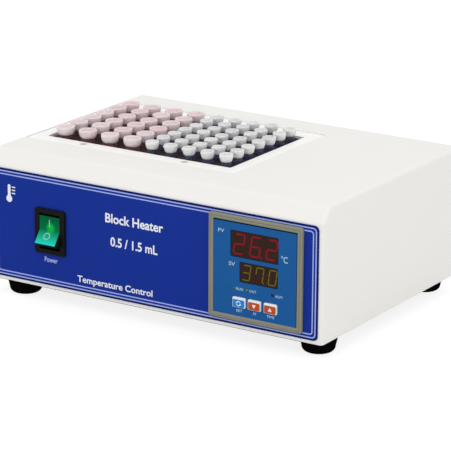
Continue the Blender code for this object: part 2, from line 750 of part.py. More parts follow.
def controller_back():
    """The controller's case, circuit board and the clamp that holds it in the panel."""
    width, depth = CONTROLLER_HOLE - 2 * GAP, 76.0
    x, z = span(CONTROLLER_X, width), span(CONTROLLER_Z, width)
    case = solid("controller_case", box(x, (BEZEL_BACK + GAP, depth), z), black_plastic())
    width -= 2 * WALL
    x, z = span(CONTROLLER_X, width), span(CONTROLLER_Z, width)
    cut(case, box(x, (BEZEL_BACK - CUT, depth - WALL), z))
    cut(case, *[
        box(span(CONTROLLER_X + dx, 3.0), (depth - 5, depth + CUT), span(CONTROLLER_Z + dz, 6.0))
        for dx in (-18, -9, 0, 9, 18)
        for dz in (-15, 15)
    ])
    width -= 2 * GAP
    x, z = span(CONTROLLER_X, width), span(CONTROLLER_Z, width)
    solid("controller_circuit_board", box(x, (BOARD_Y, BOARD_Y + 1.6), z), circuit_green())
    outer = rounded_rect(CONTROLLER_X, CONTROLLER_Z, 73.0, 73.0, 2.0)
    inner = rounded_rect(CONTROLLER_X, CONTROLLER_Z, CONTROLLER_HOLE, CONTROLLER_HOLE, 0.4, 2)
    clamp = solid("controller_clamp", prism(outer, "Y", WALL + 0.7, 9.0), black_plastic())
    cut(clamp, prism(inner, "Y", 0, 10))


def controller_keys():
    """Three keys that travel in against the switches on the board."""
    for name, x in KEYS.items():
        cx, cz = dial(x, KEY_Z)
        outline = rounded_rect(cx, cz, KEY_W, KEY_H, 0.9, 2)
        cap = prism(outline, "Y", FACE_FRONT - 1.0, FACE_BACK + 0.4)
        paint = azure_key() if name == "set_button" else orange_key()
        key = solid(name, cap, paint, (cx, FACE_FRONT, cz))
        add(key, box(span(cx, 3.0), (FACE_BACK, BOARD_Y - 1.1), span(cz, 3.0)))


# --- power switch -------------------------------------------------------------------------------
ROCKER_W = 16.7
WINDOW_W, WINDOW_H = 17.3, 25.2  # opening that the rocker fills
SWITCH_BACK = 22.0
CONTACT_Y = PIVOT_Y + 9.5
CONTACT_TILT = 3.0


def switch_body():
    outline = rounded_rect(SWITCH_X, SWITCH_Z, 25.1, 32.1, 1.5)
    body = solid("switch_body", prism(outline, "Y", SWITCH_FACE, BEZEL_BACK), black_plastic())
    width, height = SWITCH_HOLE_W - 2 * GAP, SWITCH_HOLE_H - 2 * GAP
    ends = (BEZEL_BACK - 0.5, SWITCH_BACK)
    add(body, box(span(SWITCH_X, width), ends, span(SWITCH_Z, height)))
    inside = (SWITCH_FACE - CUT, SWITCH_BACK - 2.0)
    cut(body, box(span(SWITCH_X, WINDOW_W), inside, span(SWITCH_Z, WINDOW_H)))
    bearing = circle(PIVOT_Y, SWITCH_Z, 1.8, 12)
    cut(body, prism(bearing, "X", *span(SWITCH_X, WINDOW_W + 3.2)))
    low, high = span(SWITCH_Z, 6.0)
    ridge = [(SWITCH_BACK - 1.5, low), (SWITCH_BACK - 1.5, high), (CONTACT_Y + 1.6, SWITCH_Z)]
    add(body, prism(ridge, "X", *span(SWITCH_X, 8.0)))
    for dz in (-9.0, 0.0, 9.0):
        terminal = (SWITCH_BACK - CUT, SWITCH_BACK + 7.0)
        add(body, box(span(SWITCH_X, 6.2), terminal, span(SWITCH_Z + dz, 0.8)))


def tilted(points, degrees, pivot):
    """(y, z) points turned about the X axis through pivot."""
    turn = Matrix.Rotation(math.radians(degrees), 2)
    return [tuple(Vector(pivot) + turn @ (Vector(p) - Vector(pivot))) for p in points]


def switch_rocker():
    """The rocker at rest is switched on: its upper half is pressed in, its lower half stands out."""
    pivot = (PIVOT_Y, SWITCH_Z)
    tip = math.radians(ROCKER_TIP_ANGLE)
    lean = math.tan(math.radians(ROCKER_TILT))
    hollow = ROCKER_R * (math.cos(tip) - math.sin(tip) * lean)
    ahead = 180.0
    upper = [(-hollow, 0)]
    upper += arc(0, 0, ROCKER_R, ahead - ROCKER_TIP_ANGLE, ahead - 100.0, 4)
    upper += [(3.4, 8.0), (3.4, 2.4), (8.4, 1.3), (9.0, 0.8)]
    outline = upper + [(y, -z) for y, z in reversed(upper[1:])]
    outline = [(pivot[0] + y, pivot[1] + z) for y, z in outline]
    outline = tilted(outline, -ROCKER_TILT, pivot)
    body = prism(outline, "X", *span(SWITCH_X, ROCKER_W))
    rocker = solid("switch_rocker", body, green_lens(), (SWITCH_X, PIVOT_Y, SWITCH_Z))
    add(rocker, prism(circle(*pivot, 1.5, 12), "X", *span(SWITCH_X, ROCKER_W + 3.0)))


def switch_contact():
    """The seesaw contact that the rocker's lug tips over."""
    pivot = (CONTACT_Y + 1.0, SWITCH_Z)
    low, high = span(SWITCH_Z, 17.0)
    front, back = CONTACT_Y, CONTACT_Y + 0.8
    strip = tilted([(front, low), (back, low), (back, high), (front, high)], CONTACT_TILT, pivot)
    body = prism(strip, "X", *span(SWITCH_X, 7.0))
    solid("switch_contact", body, brass(), (SWITCH_X, *pivot))


# --- power inlet and wiring ---------------------------------------------------------------------
DRAWER_W, DRAWER_H, DRAWER_Z = 19.4, 9.0, 25.0
DRAWER_DEPTH = 24.0
FUSE_L = 20.0
INLET_BODY_W, INLET_BODY_H, INLET_DEPTH = 27.0, 32.0, 27.0
SOCKET_W, SOCKET_DEPTH = 24.4, 15.0
INLET_FLANGE_T = 2.7
INLET_SCREW_SPACING = 40.0


def power_inlet():
    """A chassis socket for a detachable mains lead, with the fuse drawer below it."""
    back = CASE_D - INLET_DEPTH
    face = CASE_D + INLET_FLANGE_T
    flange = rounded_rect(INLET_X, INLET_Z, 50.0, 34.0, 5.0)
    inlet = solid("power_inlet", prism(flange, "Y", CASE_D, face), black_plastic())
    ends = (back, CASE_D + CUT)
    add(inlet, box(span(INLET_X, INLET_BODY_W), ends, span(INLET_Z, INLET_BODY_H)))
    left, right = span(INLET_X, SOCKET_W)
    low, high, chamfer = INLET_Z - 1.6, INLET_Z + 14.6, 4.0
    socket = [
        (left, low), (right, low), (right, high - chamfer),
        (right - chamfer, high), (left + chamfer, high), (left, high - chamfer),
    ]
    cut(inlet, prism(socket, "Y", CASE_D - SOCKET_DEPTH, face + CUT))
    width, height = DRAWER_W + 2 * GAP, DRAWER_H + 2 * GAP
    ends = (CASE_D - DRAWER_DEPTH - 0.5, face + CUT)
    cut(inlet, box(span(INLET_X, width), ends, span(DRAWER_Z, height)))
    ends = (back - CUT, CASE_D - SOCKET_DEPTH + CUT)
    pins = [box(span(x, 2.6), ends, span(z, 4.6)) for _, x, z in pin_centres()]
    ears = holes(inlet_screw_centres(), CLEAR_HOLE_R, "Y", CASE_D - CUT, face + CUT)
    cut(inlet, *pins, *ears)
    cut(inlet, *holes(inlet_screw_centres(), 2.8, "Y", face - 1.0, face + CUT))


def pin_centres():
    return [
        ("inlet_pin_live", INLET_X - 7.0, INLET_Z + 4.4),
        ("inlet_pin_neutral", INLET_X + 7.0, INLET_Z + 4.4),
        ("inlet_pin_earth", INLET_X, INLET_Z + 8.4),
    ]


def inlet_pins():
    ends = (CASE_D - INLET_DEPTH - 7.0, CASE_D - 1.0)
    for name, x, z in pin_centres():
        pin = solid(name, box(span(x, 2.0), ends, span(z, 4.0)), brass())
        soften(pin, 0.4, 1)


def fuse_drawer():
    face = CASE_D + REAR_REACH
    low, high = span(DRAWER_Z, DRAWER_H)
    body = box(span(INLET_X, DRAWER_W), (CASE_D - DRAWER_DEPTH, face), (low, high))
    drawer = solid("fuse_drawer", body, black_plastic(), (INLET_X, CASE_D, DRAWER_Z))
    ends = (CASE_D - DRAWER_DEPTH + 1.5, CASE_D - 1.0)
    pocket = box(span(INLET_X, 5.8), ends, (DRAWER_Z - 3.2, high + CUT))
    grip = box(span(INLET_X, 8.0), (face - 0.7, face + CUT), span(DRAWER_Z, 2.0))
    cut(drawer, pocket, grip)
    cap_r, glass_r = 2.5, 2.35
    half, glass = FUSE_L / 2, FUSE_L / 4
    profile = [(0, -half), (cap_r, -half), (cap_r, -glass), (glass_r, -glass)]
    profile += [(r, -along) for r, along in reversed(profile)]
    at = (INLET_X, CASE_D - 11.8, DRAWER_Z - 0.3)
    solid("fuse", turned(profile, "Y", at, 14), fuse_glass(), at)


def solid_state_relay():
    """Switches the heater for the controller; screwed down on the base plate, which cools it."""
    x, y = (62.0, 106.0), (92.0, 150.0)
    low = BASE_TOP + GAP
    high = low + 24.0
    relay = solid("solid_state_relay", box(x, y, (low, high)), black_plastic())
    middle = sum(x) / 2
    cut(relay, *[
        box(span(middle + dx, 10.0), span(end, 12.0), (high - 9, high + CUT))
        for dx in (-13, 13)
        for end in y
    ])
    add(relay, box(span(middle, 48.0), (y[0] - 1, y[1] + 1), (low, low + 3.0)))


def earth_stud():
    """A stud on the base plate with its nut, as one body."""
    stud, nut, length = 2.0, 4.0, 11.0
    profile = [(0, 0), (stud, 0), (stud, 2.0), (nut, 2.0), (nut, 5.2), (stud, 5.2)]
    profile += [(stud, length), (0, length)]
    solid("earth_stud", turned(profile, "Z", (20.0, 168.0, BASE_TOP + GAP), 12), brass())


def leads():
    """Rigid runs of wire that end just short of their terminals."""
    start = WELL_X + MAT_W / 2 + 6.0 + GAP
    y, z = sum(HEATER_TAB) / 2, TRAY_BASE - GAP - 1.6
    cable("heater_lead", [
        (start, y, z), (start + 11.7, y, z),
        (43.5, y + 1.0, z - 2.0), (46.5, 80.0, 26.0), (56.0, 87.0, 22.0), (72.0, 88.5, 20.0),
    ], 1.3, silicone())
    inlet_end = (INLET_X - 9.8, CASE_D - INLET_DEPTH - 5.0, INLET_Z + 4.4)
    switch_end = (SWITCH_X - 5.0, 26.0, SWITCH_Z - 9.0)
    along_base = [
        (48.0, 158.0, 30.0), (0.0, 170.0, 14.0), (-100.0, 171.0, 9.0), (-120.0, 162.0, 9.0),
        (-127.0, 140.0, 9.0), (-127.0, 60.0, 9.0), (-118.0, 32.0, 12.0), (-100.0, 31.0, 24.0),
    ]
    cable("mains_lead", [inlet_end, *along_base, switch_end], 1.4, black_plastic())


# --- the whole object ---------------------------------------------------------------------------
for leftover in list(bpy.data.objects):
    bpy.data.objects.remove(leftover)

upper_housing()
base_plate()
rear_panel()
front_overlay()
well_frame()
casing_screws()
feet()
heating_block("heating_block_1_5ml", -1, columns=4, rows=6, well_r=5.6, straight=34.0, depth=36.5)
heating_block("heating_block_0_5ml", 1, columns=5, rows=7, well_r=4.1, straight=26.5, depth=28.5)
heating_tray()
heater()
insulation_jacket()
tray_brackets()
temperature_probe()
thermal_cutout()
controller()
controller_back()
controller_keys()
switch_body()
switch_rocker()
switch_contact()
power_inlet()
inlet_pins()
fuse_drawer()
solid_state_relay()
earth_stud()
leads()

for piece in bpy.data.objects:
    piece.data.shade_smooth()
    piece.data.set_sharp_from_angle(angle=math.radians(30))
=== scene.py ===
import math
import random

import bmesh
import bpy
from mathutils import Matrix, Vector
from mathutils.bvhtree import BVHTree


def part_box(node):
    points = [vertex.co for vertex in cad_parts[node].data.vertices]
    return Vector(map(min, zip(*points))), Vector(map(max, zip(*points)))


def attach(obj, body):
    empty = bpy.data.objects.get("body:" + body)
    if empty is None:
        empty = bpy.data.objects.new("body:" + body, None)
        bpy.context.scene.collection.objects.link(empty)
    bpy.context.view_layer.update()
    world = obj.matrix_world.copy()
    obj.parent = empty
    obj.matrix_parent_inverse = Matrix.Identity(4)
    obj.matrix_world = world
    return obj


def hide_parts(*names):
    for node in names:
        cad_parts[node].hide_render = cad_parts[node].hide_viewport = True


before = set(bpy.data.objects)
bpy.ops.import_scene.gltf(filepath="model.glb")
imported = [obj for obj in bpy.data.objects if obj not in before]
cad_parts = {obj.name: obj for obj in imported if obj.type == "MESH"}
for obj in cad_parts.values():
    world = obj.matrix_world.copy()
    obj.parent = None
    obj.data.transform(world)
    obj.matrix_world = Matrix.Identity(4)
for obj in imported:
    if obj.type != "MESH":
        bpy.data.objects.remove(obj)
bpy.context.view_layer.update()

# Looks of the dry block heater. Lengths are in millimetres in the frame shared with the CAD until a
# piece is made: x to the right seen from the front, y to the back, z up. Most places come from the
# CAD nodes' boxes.

MM = 0.001
INK = 0.05  # how far printing stands proud of what it is printed on
ROUND = 40  # sides of a round piece
SEED = 7  # for the tubes' heights, turns, tilts and tints

# softened edges, in degrees and millimetres
BEVEL_ANGLE = 35
FLAT_ANGLE = 0.5
WELD_DISTANCE = 0.01
SCREW_EDGE = 0.12
REAR_SCREW_EDGE = 0.01  # a wider rounding comes out full on one of the four only, which then looks black

# the camera: focal length and sensor width, direction in degrees, and distance
LENS, SENSOR = 214.9, 36.0
AZIMUTH, ELEVATION, ROLL = 32.46, 16.74, 0.37
DISTANCE = 1766.4
AIM_RIGHT, AIM_UP = 59.5, 69.2  # the point looked at: from the casing's middle and lower edge

# the rocker's light: its place from the lens's middle, front edge and middle, and its core and reach
LAMP_ACROSS, LAMP_BACK, LAMP_UP = 0.9, 4.0, 3.0
LAMP_CORE, LAMP_REACH = 0.8, 4.8
LAMP_COLOUR = (0.010, 0.62, 0.05)
# the lens's glow by share of its height, from the lip up: partly the lamp's own uneven light, with a
# painted highlight at the lip and painted shade towards the top
LIP_GLOW_AND_HIGHLIGHT = (0.17, (0.018, 0.70, 0.56, 1))
TOP_GLOW_AND_SHADE = (1.0, (0.0, 0.090, 0.030, 1))
MIDDLE_GLOWS = ((0.36, (0.010, 0.42, 0.27, 1)), (0.56, (0.001, 0.15, 0.055, 1)))
# the glow fades between these two y parts of a face's normal, from its front to its sides, which are left
# dark as painted shade
FRONT_FACING, SIDE_FACING = -0.80, -0.765
FRONT_STRENGTH, SIDE_SHADE_STRENGTH = 0.95, 0.004

# tubes, as (radius, height above the block's top)
LARGE_TUBE = [(0.4, -35.6), (1.2, -35.2), (1.8, -34.2), (4.95, -16.0), (5.15, -1.0), (4.9, 2.7)]
LARGE_CAP = [
    (0.4, 7.4), (2.2, 7.4), (2.6, 7.7), (3.2, 7.7), (3.6, 7.4), (4.6, 7.5), (4.95, 8.5), (5.25, 8.9),
    (5.9, 8.95), (6.3, 8.7), (6.45, 8.1), (6.4, 7.3), (6.25, 6.1), (6.0, 5.0), (5.6, 4.0), (5.1, 3.3),
    (4.5, 3.0), (0.4, 2.9),
]
LARGE_CAP_R, LARGE_LUG = 6.35, 1.2
SMALL_TUBE = [(0.4, -27.8), (1.0, -27.4), (1.4, -26.6), (3.6, -13.0), (3.8, -1.0), (3.4, 3.6)]
SMALL_CAP = [
    (0.4, 7.8), (1.6, 7.8), (1.9, 8.0), (2.3, 8.0), (2.6, 7.75), (3.1, 7.8), (3.4, 8.7), (3.65, 9.1),
    (4.2, 9.2), (4.6, 8.95), (4.75, 8.3), (4.7, 7.4), (4.55, 6.2), (4.25, 5.1), (3.9, 4.3), (3.5, 3.9),
    (0.4, 3.8),
]
SMALL_CAP_R, SMALL_LUG = 4.7, 0.9
HOLLOW_SHADE_SHARE = 0.76  # share of a tube cap's radius that the painted shade in its hollow top takes
HOLLOW_SHADE_DEPTH = 2.0
LUG_WIDTH, HINGE_WIDTH = 4.2, 5.2
LUG_ROOT = 0.6  # how far a lug starts inside its cap's rim
LUG_TOP, LUG_BOTTOM = 0.5, 1.5  # below the rim

# the wells that the tubes stand in
WELL_SIDES = 28
TIP_R = 0.4  # of a well's cone
CHAMFER = 0.35  # depth of the countersink at a well's mouth
BLOCK_EDGE = 0.5

# displays, as shares of the window's width, of its height, or of a figure's height
FIGURE_TALL = 0.76
FIGURE_WIDE = 0.54
FIRST_FIGURE, FIRST_DOT, FIGURE_PITCH = 0.15, 0.17, 0.345
FIGURE_SLANT = 8.0  # degrees


def box_mm(node):
    """Lowest and highest corner of a CAD node, in millimetres."""
    low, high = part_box(node)
    return low / MM, high / MM


CASE_LOW, CASE_HIGH = box_mm("upper_housing")


# --- materials ----------------------------------------------------------------------------------
def node_of(tree, kind, **values):
    """A shader node with its inputs set by name."""
    made = tree.nodes.new(kind)
    for name, value in values.items():
        made.inputs[name.replace("_", " ")].default_value = value
    return made


def coordinates(tree, stretch=(1, 1, 1)):
    """Object coordinates in metres, stretched for grain that runs one way."""
    where = tree.nodes.new("ShaderNodeTexCoord")
    mapping = node_of(tree, "ShaderNodeMapping", Scale=stretch)
    tree.links.new(where.outputs["Object"], mapping.inputs["Vector"])
    return mapping.outputs["Vector"]


def noise(tree, vector, size, detail=3.0):
    """Noise whose features are about size millimetres across."""
    made = node_of(tree, "ShaderNodeTexNoise", Scale=1 / (size * MM), Detail=detail)
    tree.links.new(vector, made.inputs["Vector"])
    return made.outputs["Fac"]


def spread(tree, value, low, high):
    """A 0 to 1 value taken to the range low to high."""
    made = node_of(tree, "ShaderNodeMapRange", To_Min=low, To_Max=high)
    tree.links.new(value, made.inputs["Value"])
    return made.outputs["Result"]


def blend_colours(tree, factor, first, second):
    """Two colours mixed by a factor; each is a tuple or a socket."""
    made = tree.nodes.new("ShaderNodeMix")
    made.data_type = "RGBA"
    tree.links.new(factor, made.inputs["Factor"])
    for socket, colour in ((made.inputs["A"], first), (made.inputs["B"], second)):
        if isinstance(colour, tuple):
            socket.default_value = (*colour, 1.0)
        else:
            tree.links.new(colour, socket)
    return made.outputs["Result"]


def surface(
    name,
    colour,
    roughness,
    metallic=0.0,
    specular=0.5,
    patch=20.0,
    drift=0.05,
    grain=0.6,
    depth=0.01,
    stretch=(1, 1, 1),
    coat=0.0,
):
    """A finish whose colour and roughness drift over patches, with a fine grain as bump.
    patch and grain are sizes in millimetres, drift a share of the colour, depth the grain's."""
    made = bpy.data.materials.new(name)
    made.use_nodes = True
    tree = made.node_tree
    shader = tree.nodes["Principled BSDF"]
    vector = coordinates(tree, stretch)
    patches = noise(tree, vector, patch, 4.0)
    darker = tuple(c * (1 - drift) for c in colour)
    lighter = tuple(min(1.0, c * (1 + drift)) for c in colour)
    tree.links.new(blend_colours(tree, patches, darker, lighter), shader.inputs["Base Color"])
    fine = noise(tree, vector, grain, 5.0)
    rough = spread(tree, fine, roughness * 0.85, roughness * 1.15)
    tree.links.new(rough, shader.inputs["Roughness"])
    bump = node_of(tree, "ShaderNodeBump", Strength=1.0, Distance=depth * MM)
    tree.links.new(fine, bump.inputs["Height"])
    tree.links.new(bump.outputs["Normal"], shader.inputs["Normal"])
    shader.inputs["Metallic"].default_value = metallic
    shader.inputs["Specular IOR Level"].default_value = specular
    shader.inputs["Coat Weight"].default_value = coat
    return made


def white_paint():
    """Powder coat with a slight orange peel."""
    return surface(
        "white_paint", (0.875, 0.865, 0.835), 0.42,
        patch=60.0, drift=0.012, grain=1.1, depth=0.012,
    )


def white_frame_paint():
    return surface(
        "white_frame_paint", (0.97, 0.965, 0.945), 0.4,
        patch=40.0, drift=0.01, grain=1.0, depth=0.01,
    )


def zinc_steel():
    return surface(
        "zinc_steel", (0.55, 0.56, 0.56), 0.34, 1.0,
        patch=9.0, drift=0.14, grain=0.8, depth=0.01,
    )


def plate_steel_painted_shade():
    """Dull grey steel of the base plate, darkened with painted shade so that its edge shows as the shaded
    gap line under the casing.
    """
    return surface(
        "plate_steel_painted_shade", (0.09, 0.09, 0.085), 0.5,
        specular=0.1, patch=9.0, drift=0.12, depth=0.01,
    )


def aluminium():
    return surface(
        "aluminium", (0.62, 0.62, 0.63), 0.36, 1.0,
        patch=14.0, drift=0.08, grain=0.5, depth=0.015,
    )


def block_aluminium():
    """Dark anodised block with fine milling marks along x."""
    return surface(
        "block_aluminium", (0.040, 0.022, 0.020), 0.5, 0.0, 0.1,
        patch=12.0, drift=0.22, grain=0.7, depth=0.012, stretch=(0.25, 1, 1),
    )


def brass():
    return surface(
        "brass", (0.72, 0.50, 0.20), 0.28, 1.0,
        patch=5.0, drift=0.1, grain=0.5, depth=0.006,
    )


def blue_film():
    """Printed polyester film with a fine matt texture."""
    return surface(
        "blue_film", (0.010, 0.034, 0.300), 0.36,
        specular=0.03, patch=30.0, drift=0.05, grain=0.35, depth=0.004,
    )


def navy_ink():
    return surface(
        "navy_ink", (0.005, 0.009, 0.080), 0.4,
        specular=0.03, patch=10.0, drift=0.1, grain=0.35, depth=0.003,
    )


def stripe_ink():
    return surface(
        "stripe_ink", (0.40, 0.48, 0.86), 0.45,
        specular=0.1, patch=8.0, drift=0.08, grain=0.35, depth=0.003,
    )


def white_ink():
    return surface(
        "white_ink", (0.86, 0.88, 0.92), 0.5,
        specular=0.2, patch=6.0, drift=0.04, grain=0.35, depth=0.003,
    )


def label_ink():
    return surface(
        "label_ink", (0.42, 0.58, 0.72), 0.5,
        specular=0.2, patch=4.0, drift=0.08, grain=0.3, depth=0.003,
    )


def black_plastic():
    return surface(
        "black_plastic", (0.007, 0.006, 0.006), 0.42,
        specular=0.08, patch=8.0, drift=0.2, grain=0.5, depth=0.02,
    )


def beige_plastic():
    """Moulded ABS of the controller's bezel."""
    return surface(
        "beige_plastic", (0.262, 0.258, 0.198), 0.5,
        specular=0.15, patch=14.0, drift=0.06, grain=0.5, depth=0.015,
    )


def face_print():
    return surface(
        "face_print", (0.012, 0.105, 0.330), 0.4,
        specular=0.05, patch=18.0, drift=0.07, grain=0.35, depth=0.004,
    )


def display_window():
    return surface(
        "display_window", (0.034, 0.014, 0.009), 0.16,
        specular=0.1, patch=6.0, drift=0.15, grain=0.6, depth=0.002,
    )


def rubber():
    return surface(
        "rubber", (0.0035, 0.0031, 0.0033), 0.8,
        specular=0.0, patch=5.0, drift=0.25, grain=0.5, depth=0.03,
    )


def silicone():
    return surface(
        "silicone", (0.45, 0.12, 0.06), 0.6,
        patch=6.0, drift=0.08, grain=0.6, depth=0.02,
    )


def ceramic_wool():
    return surface(
        "ceramic_wool", (0.80, 0.78, 0.72), 0.95,
        patch=5.0, drift=0.12, grain=0.8, depth=0.15,
    )


def circuit_green():
    return surface(
        "circuit_green", (0.01, 0.16, 0.07), 0.35,
        patch=3.0, drift=0.25, grain=0.4, depth=0.01,
    )


def fuse_glass():
    return surface(
        "fuse_glass", (0.80, 0.86, 0.86), 0.1,
        patch=3.0, drift=0.05, grain=0.6, depth=0.004, coat=0.4,
    )


def cable_jacket():
    return surface(
        "cable_jacket", (0.02, 0.02, 0.022), 0.5,
        specular=0.3, patch=5.0, drift=0.2, grain=0.6, depth=0.02,
    )


def key_white():
    return surface(
        "key_white", (0.84, 0.86, 0.90), 0.4,
        patch=3.0, drift=0.03, grain=0.3, depth=0.004,
    )


def azure_key():
    return surface(
        "azure_key", (0.010, 0.225, 0.66), 0.38,
        specular=0.2, patch=3.0, drift=0.08, grain=0.3, depth=0.004,
    )


def orange_key():
    return surface(
        "orange_key", (0.50, 0.075, 0.008), 0.38,
        specular=0.2, patch=3.0, drift=0.08, grain=0.3, depth=0.004,
    )


def lamp_lens(name, colour, glow):
    """A small cast lens lit from behind."""
    made = surface(name, colour, 0.25, specular=0.3, patch=0.8, drift=0.3, grain=0.3, depth=0.004)
    shader = made.node_tree.nodes["Principled BSDF"]
    shader.inputs["Emission Color"].default_value = (*colour, 1.0)
    shader.inputs["Emission Strength"].default_value = glow
    return made


def lit_segment(name, colour):
    """A glowing display segment whose light is a little uneven."""
    unlit = tuple(c * 0.2 for c in colour)
    made = surface(name, unlit, 0.3, specular=0.1, patch=2.0, drift=0.1, depth=0.001)
    tree = made.node_tree
    shader = tree.nodes["Principled BSDF"]
    glow = noise(tree, coordinates(tree), 1.5)
    shader.inputs["Emission Color"].default_value = (*colour, 1.0)
    tree.links.new(spread(tree, glow, 0.75, 1.1), shader.inputs["Emission Strength"])
    return made


def rocker_lens(low, high):
    """Green polycarbonate lit from behind: deep green above, where its glow is darkened as painted shade,
    turquoise with a painted highlight at the lip, and dark on its sides as painted shade.
    """
    unlit = (0.0, 0.010, 0.005)
    made = surface("green_lens", unlit, 0.2, specular=0.02, patch=5.0, drift=0.1, depth=0.004)
    tree = made.node_tree
    shader = tree.nodes["Principled BSDF"]
    where = tree.nodes.new("ShaderNodeTexCoord")
    split = tree.nodes.new("ShaderNodeSeparateXYZ")
    tree.links.new(where.outputs["Object"], split.inputs["Vector"])
    height = node_of(tree, "ShaderNodeMapRange", From_Min=low.z * MM, From_Max=high.z * MM)
    tree.links.new(split.outputs["Z"], height.inputs["Value"])
    # glow by height: the lamp's light, with a painted highlight at the lip and painted shade at the top
    ramp = tree.nodes.new("ShaderNodeValToRGB")
    stops = ramp.color_ramp.elements
    stops[0].position, stops[0].color = LIP_GLOW_AND_HIGHLIGHT
    stops[1].position, stops[1].color = TOP_GLOW_AND_SHADE
    for position, colour in MIDDLE_GLOWS:
        stops.new(position).color = colour
    tree.links.new(height.outputs["Result"], ramp.inputs["Fac"])
    centre = (low + high) / 2
    lamp = node_of(tree, "ShaderNodeVectorMath")
    lamp.operation = "DISTANCE"
    bulb = Vector((centre.x + LAMP_ACROSS, low.y + LAMP_BACK, centre.z + LAMP_UP))
    lamp.inputs[1].default_value = bulb * MM
    tree.links.new(where.outputs["Object"], lamp.inputs[0])
    near = node_of(
        tree, "ShaderNodeMapRange",
        From_Min=LAMP_CORE * MM, From_Max=LAMP_REACH * MM, To_Min=1.0, To_Max=0.0,
    )
    tree.links.new(lamp.outputs["Value"], near.inputs["Value"])
    glow = blend_colours(tree, near.outputs["Result"], ramp.outputs["Color"], LAMP_COLOUR)
    tree.links.new(glow, shader.inputs["Emission Color"])
    # painted shade: the glow all but goes out on faces that turn away from the front
    way = tree.nodes.new("ShaderNodeSeparateXYZ")
    tree.links.new(tree.nodes.new("ShaderNodeNewGeometry").outputs["Normal"], way.inputs["Vector"])
    ahead = node_of(
        tree, "ShaderNodeMapRange",
        From_Min=FRONT_FACING, From_Max=SIDE_FACING, To_Min=FRONT_STRENGTH, To_Max=SIDE_SHADE_STRENGTH,
    )
    tree.links.new(way.outputs["Y"], ahead.inputs["Value"])
    tree.links.new(ahead.outputs["Result"], shader.inputs["Emission Strength"])
    return made


def tube_plastic(name, base, drift, clear):
    """Frosted polypropylene: each tube has its own tint between base and drift, pushed towards drift as
    painted shade in the caps' hollow tops, and clear is the share of light that passes straight through
    where it is seen face on."""
    made = surface(name, base, 0.3, specular=0.4, patch=1.8, drift=0.07, grain=0.8, depth=0.006)
    tree = made.node_tree
    shader = tree.nodes["Principled BSDF"]
    tint_and_shade = tree.nodes.new("ShaderNodeAttribute")
    tint_and_shade.attribute_name = "tint_and_shade"
    plain = shader.inputs["Base Color"].links[0].from_socket
    tree.links.new(blend_colours(tree, tint_and_shade.outputs["Fac"], plain, drift), shader.inputs["Base Color"])
    through = node_of(tree, "ShaderNodeBsdfTranslucent", Color=(*base, 1.0))
    soft = node_of(tree, "ShaderNodeMixShader", Fac=0.2)
    tree.links.new(shader.outputs["BSDF"], soft.inputs[1])
    tree.links.new(through.outputs["BSDF"], soft.inputs[2])
    facing = node_of(tree, "ShaderNodeLayerWeight", Blend=0.45)
    see = spread(tree, facing.outputs["Facing"], clear, 0.0)
    window = tree.nodes.new("ShaderNodeBsdfTransparent")
    final = tree.nodes.new("ShaderNodeMixShader")
    tree.links.new(see, final.inputs["Fac"])
    tree.links.new(soft.outputs["Shader"], final.inputs[1])
    tree.links.new(window.outputs["BSDF"], final.inputs[2])
    tree.links.new(final.outputs["Shader"], tree.nodes["Material Output"].inputs["Surface"])
    return made


# --- meshes -------------------------------------------------------------------------------------
def arc(cx, cy, r, start, end, steps):
    """Points on a circle between two angles in degrees, both ends included."""
    angles = [math.radians(start + (end - start) * i / steps) for i in range(steps + 1)]
    return [(cx + r * math.cos(a), cy + r * math.sin(a)) for a in angles]


def circle(cx, cy, r, steps=ROUND):
    return arc(cx, cy, r, 0, 360, steps)[:-1]


def rounded_rect(cx, cy, w, h, r, steps=8):
    """A rectangle with round corners, counterclockwise."""
    dx, dy = w / 2 - r, h / 2 - r
    points = []
    for sx, sy, start in ((1, -1, -90), (1, 1, 0), (-1, 1, 90), (-1, -1, 180)):
        points += arc(cx + sx * dx, cy + sy * dy, r, start, start + 90, steps)
    return points


def lifted(outline, axis, level):
    """A flat outline placed at a level along an axis."""
    if axis == "X":
        return [Vector((level, u, v)) for u, v in outline]
    if axis == "Y":
        return [Vector((u, level, v)) for u, v in outline]
    return [Vector((u, v, level)) for u, v in outline]


def loft(rings, closed=False):
    """A skin through rings of equal length: capped at both ends, or joined end to start."""
    mesh = bmesh.new()
    rows = [[mesh.verts.new(co) for co in ring] for ring in rings]
    pairs = list(zip(rows, rows[1:]))
    if closed:
        pairs.append((rows[-1], rows[0]))
    count = len(rows[0])
    for low, high in pairs:
        for i in range(count):
            j = (i + 1) % count
            mesh.faces.new((low[i], low[j], high[j], high[i]))
    if not closed:
        mesh.faces.new(rows[0])
        mesh.faces.new(rows[-1])
    return mesh


def prism(outline, axis, low, high):
    return loft([lifted(outline, axis, low), lifted(outline, axis, high)])


def panel(middle, size, r, profile, axis="Y", closed=False):
    """Rounded rectangles that follow a profile of (inset, level): a plate, or a frame when closed."""
    rings = []
    for inset, level in profile:
        corner = max(r - inset, 0.15)
        w, h = size[0] - 2 * inset, size[1] - 2 * inset
        rings.append(lifted(rounded_rect(middle[0], middle[1], w, h, corner), axis, level))
    return loft(rings, closed)


def turned(profile, at, steps=ROUND):
    """A profile of (radius, height) turned about the vertical through at."""
    return loft([lifted(circle(at[0], at[1], r, steps), "Z", at[2] + z) for r, z in profile])


def merge(target, source, paint=0, move=None):
    """Adds one bmesh to another, with its faces on a material slot, and frees it."""
    if move is not None:
        bmesh.ops.transform(source, matrix=move, verts=source.verts)
    for face in source.faces:
        face.material_index = paint
    holder = bpy.data.meshes.new("holder")
    source.to_mesh(holder)
    source.free()
    target.from_mesh(holder)
    bpy.data.meshes.remove(holder)
    return target


def gathered(meshes):
    result = bmesh.new()
    for mesh in meshes:
        merge(result, mesh)
    return result


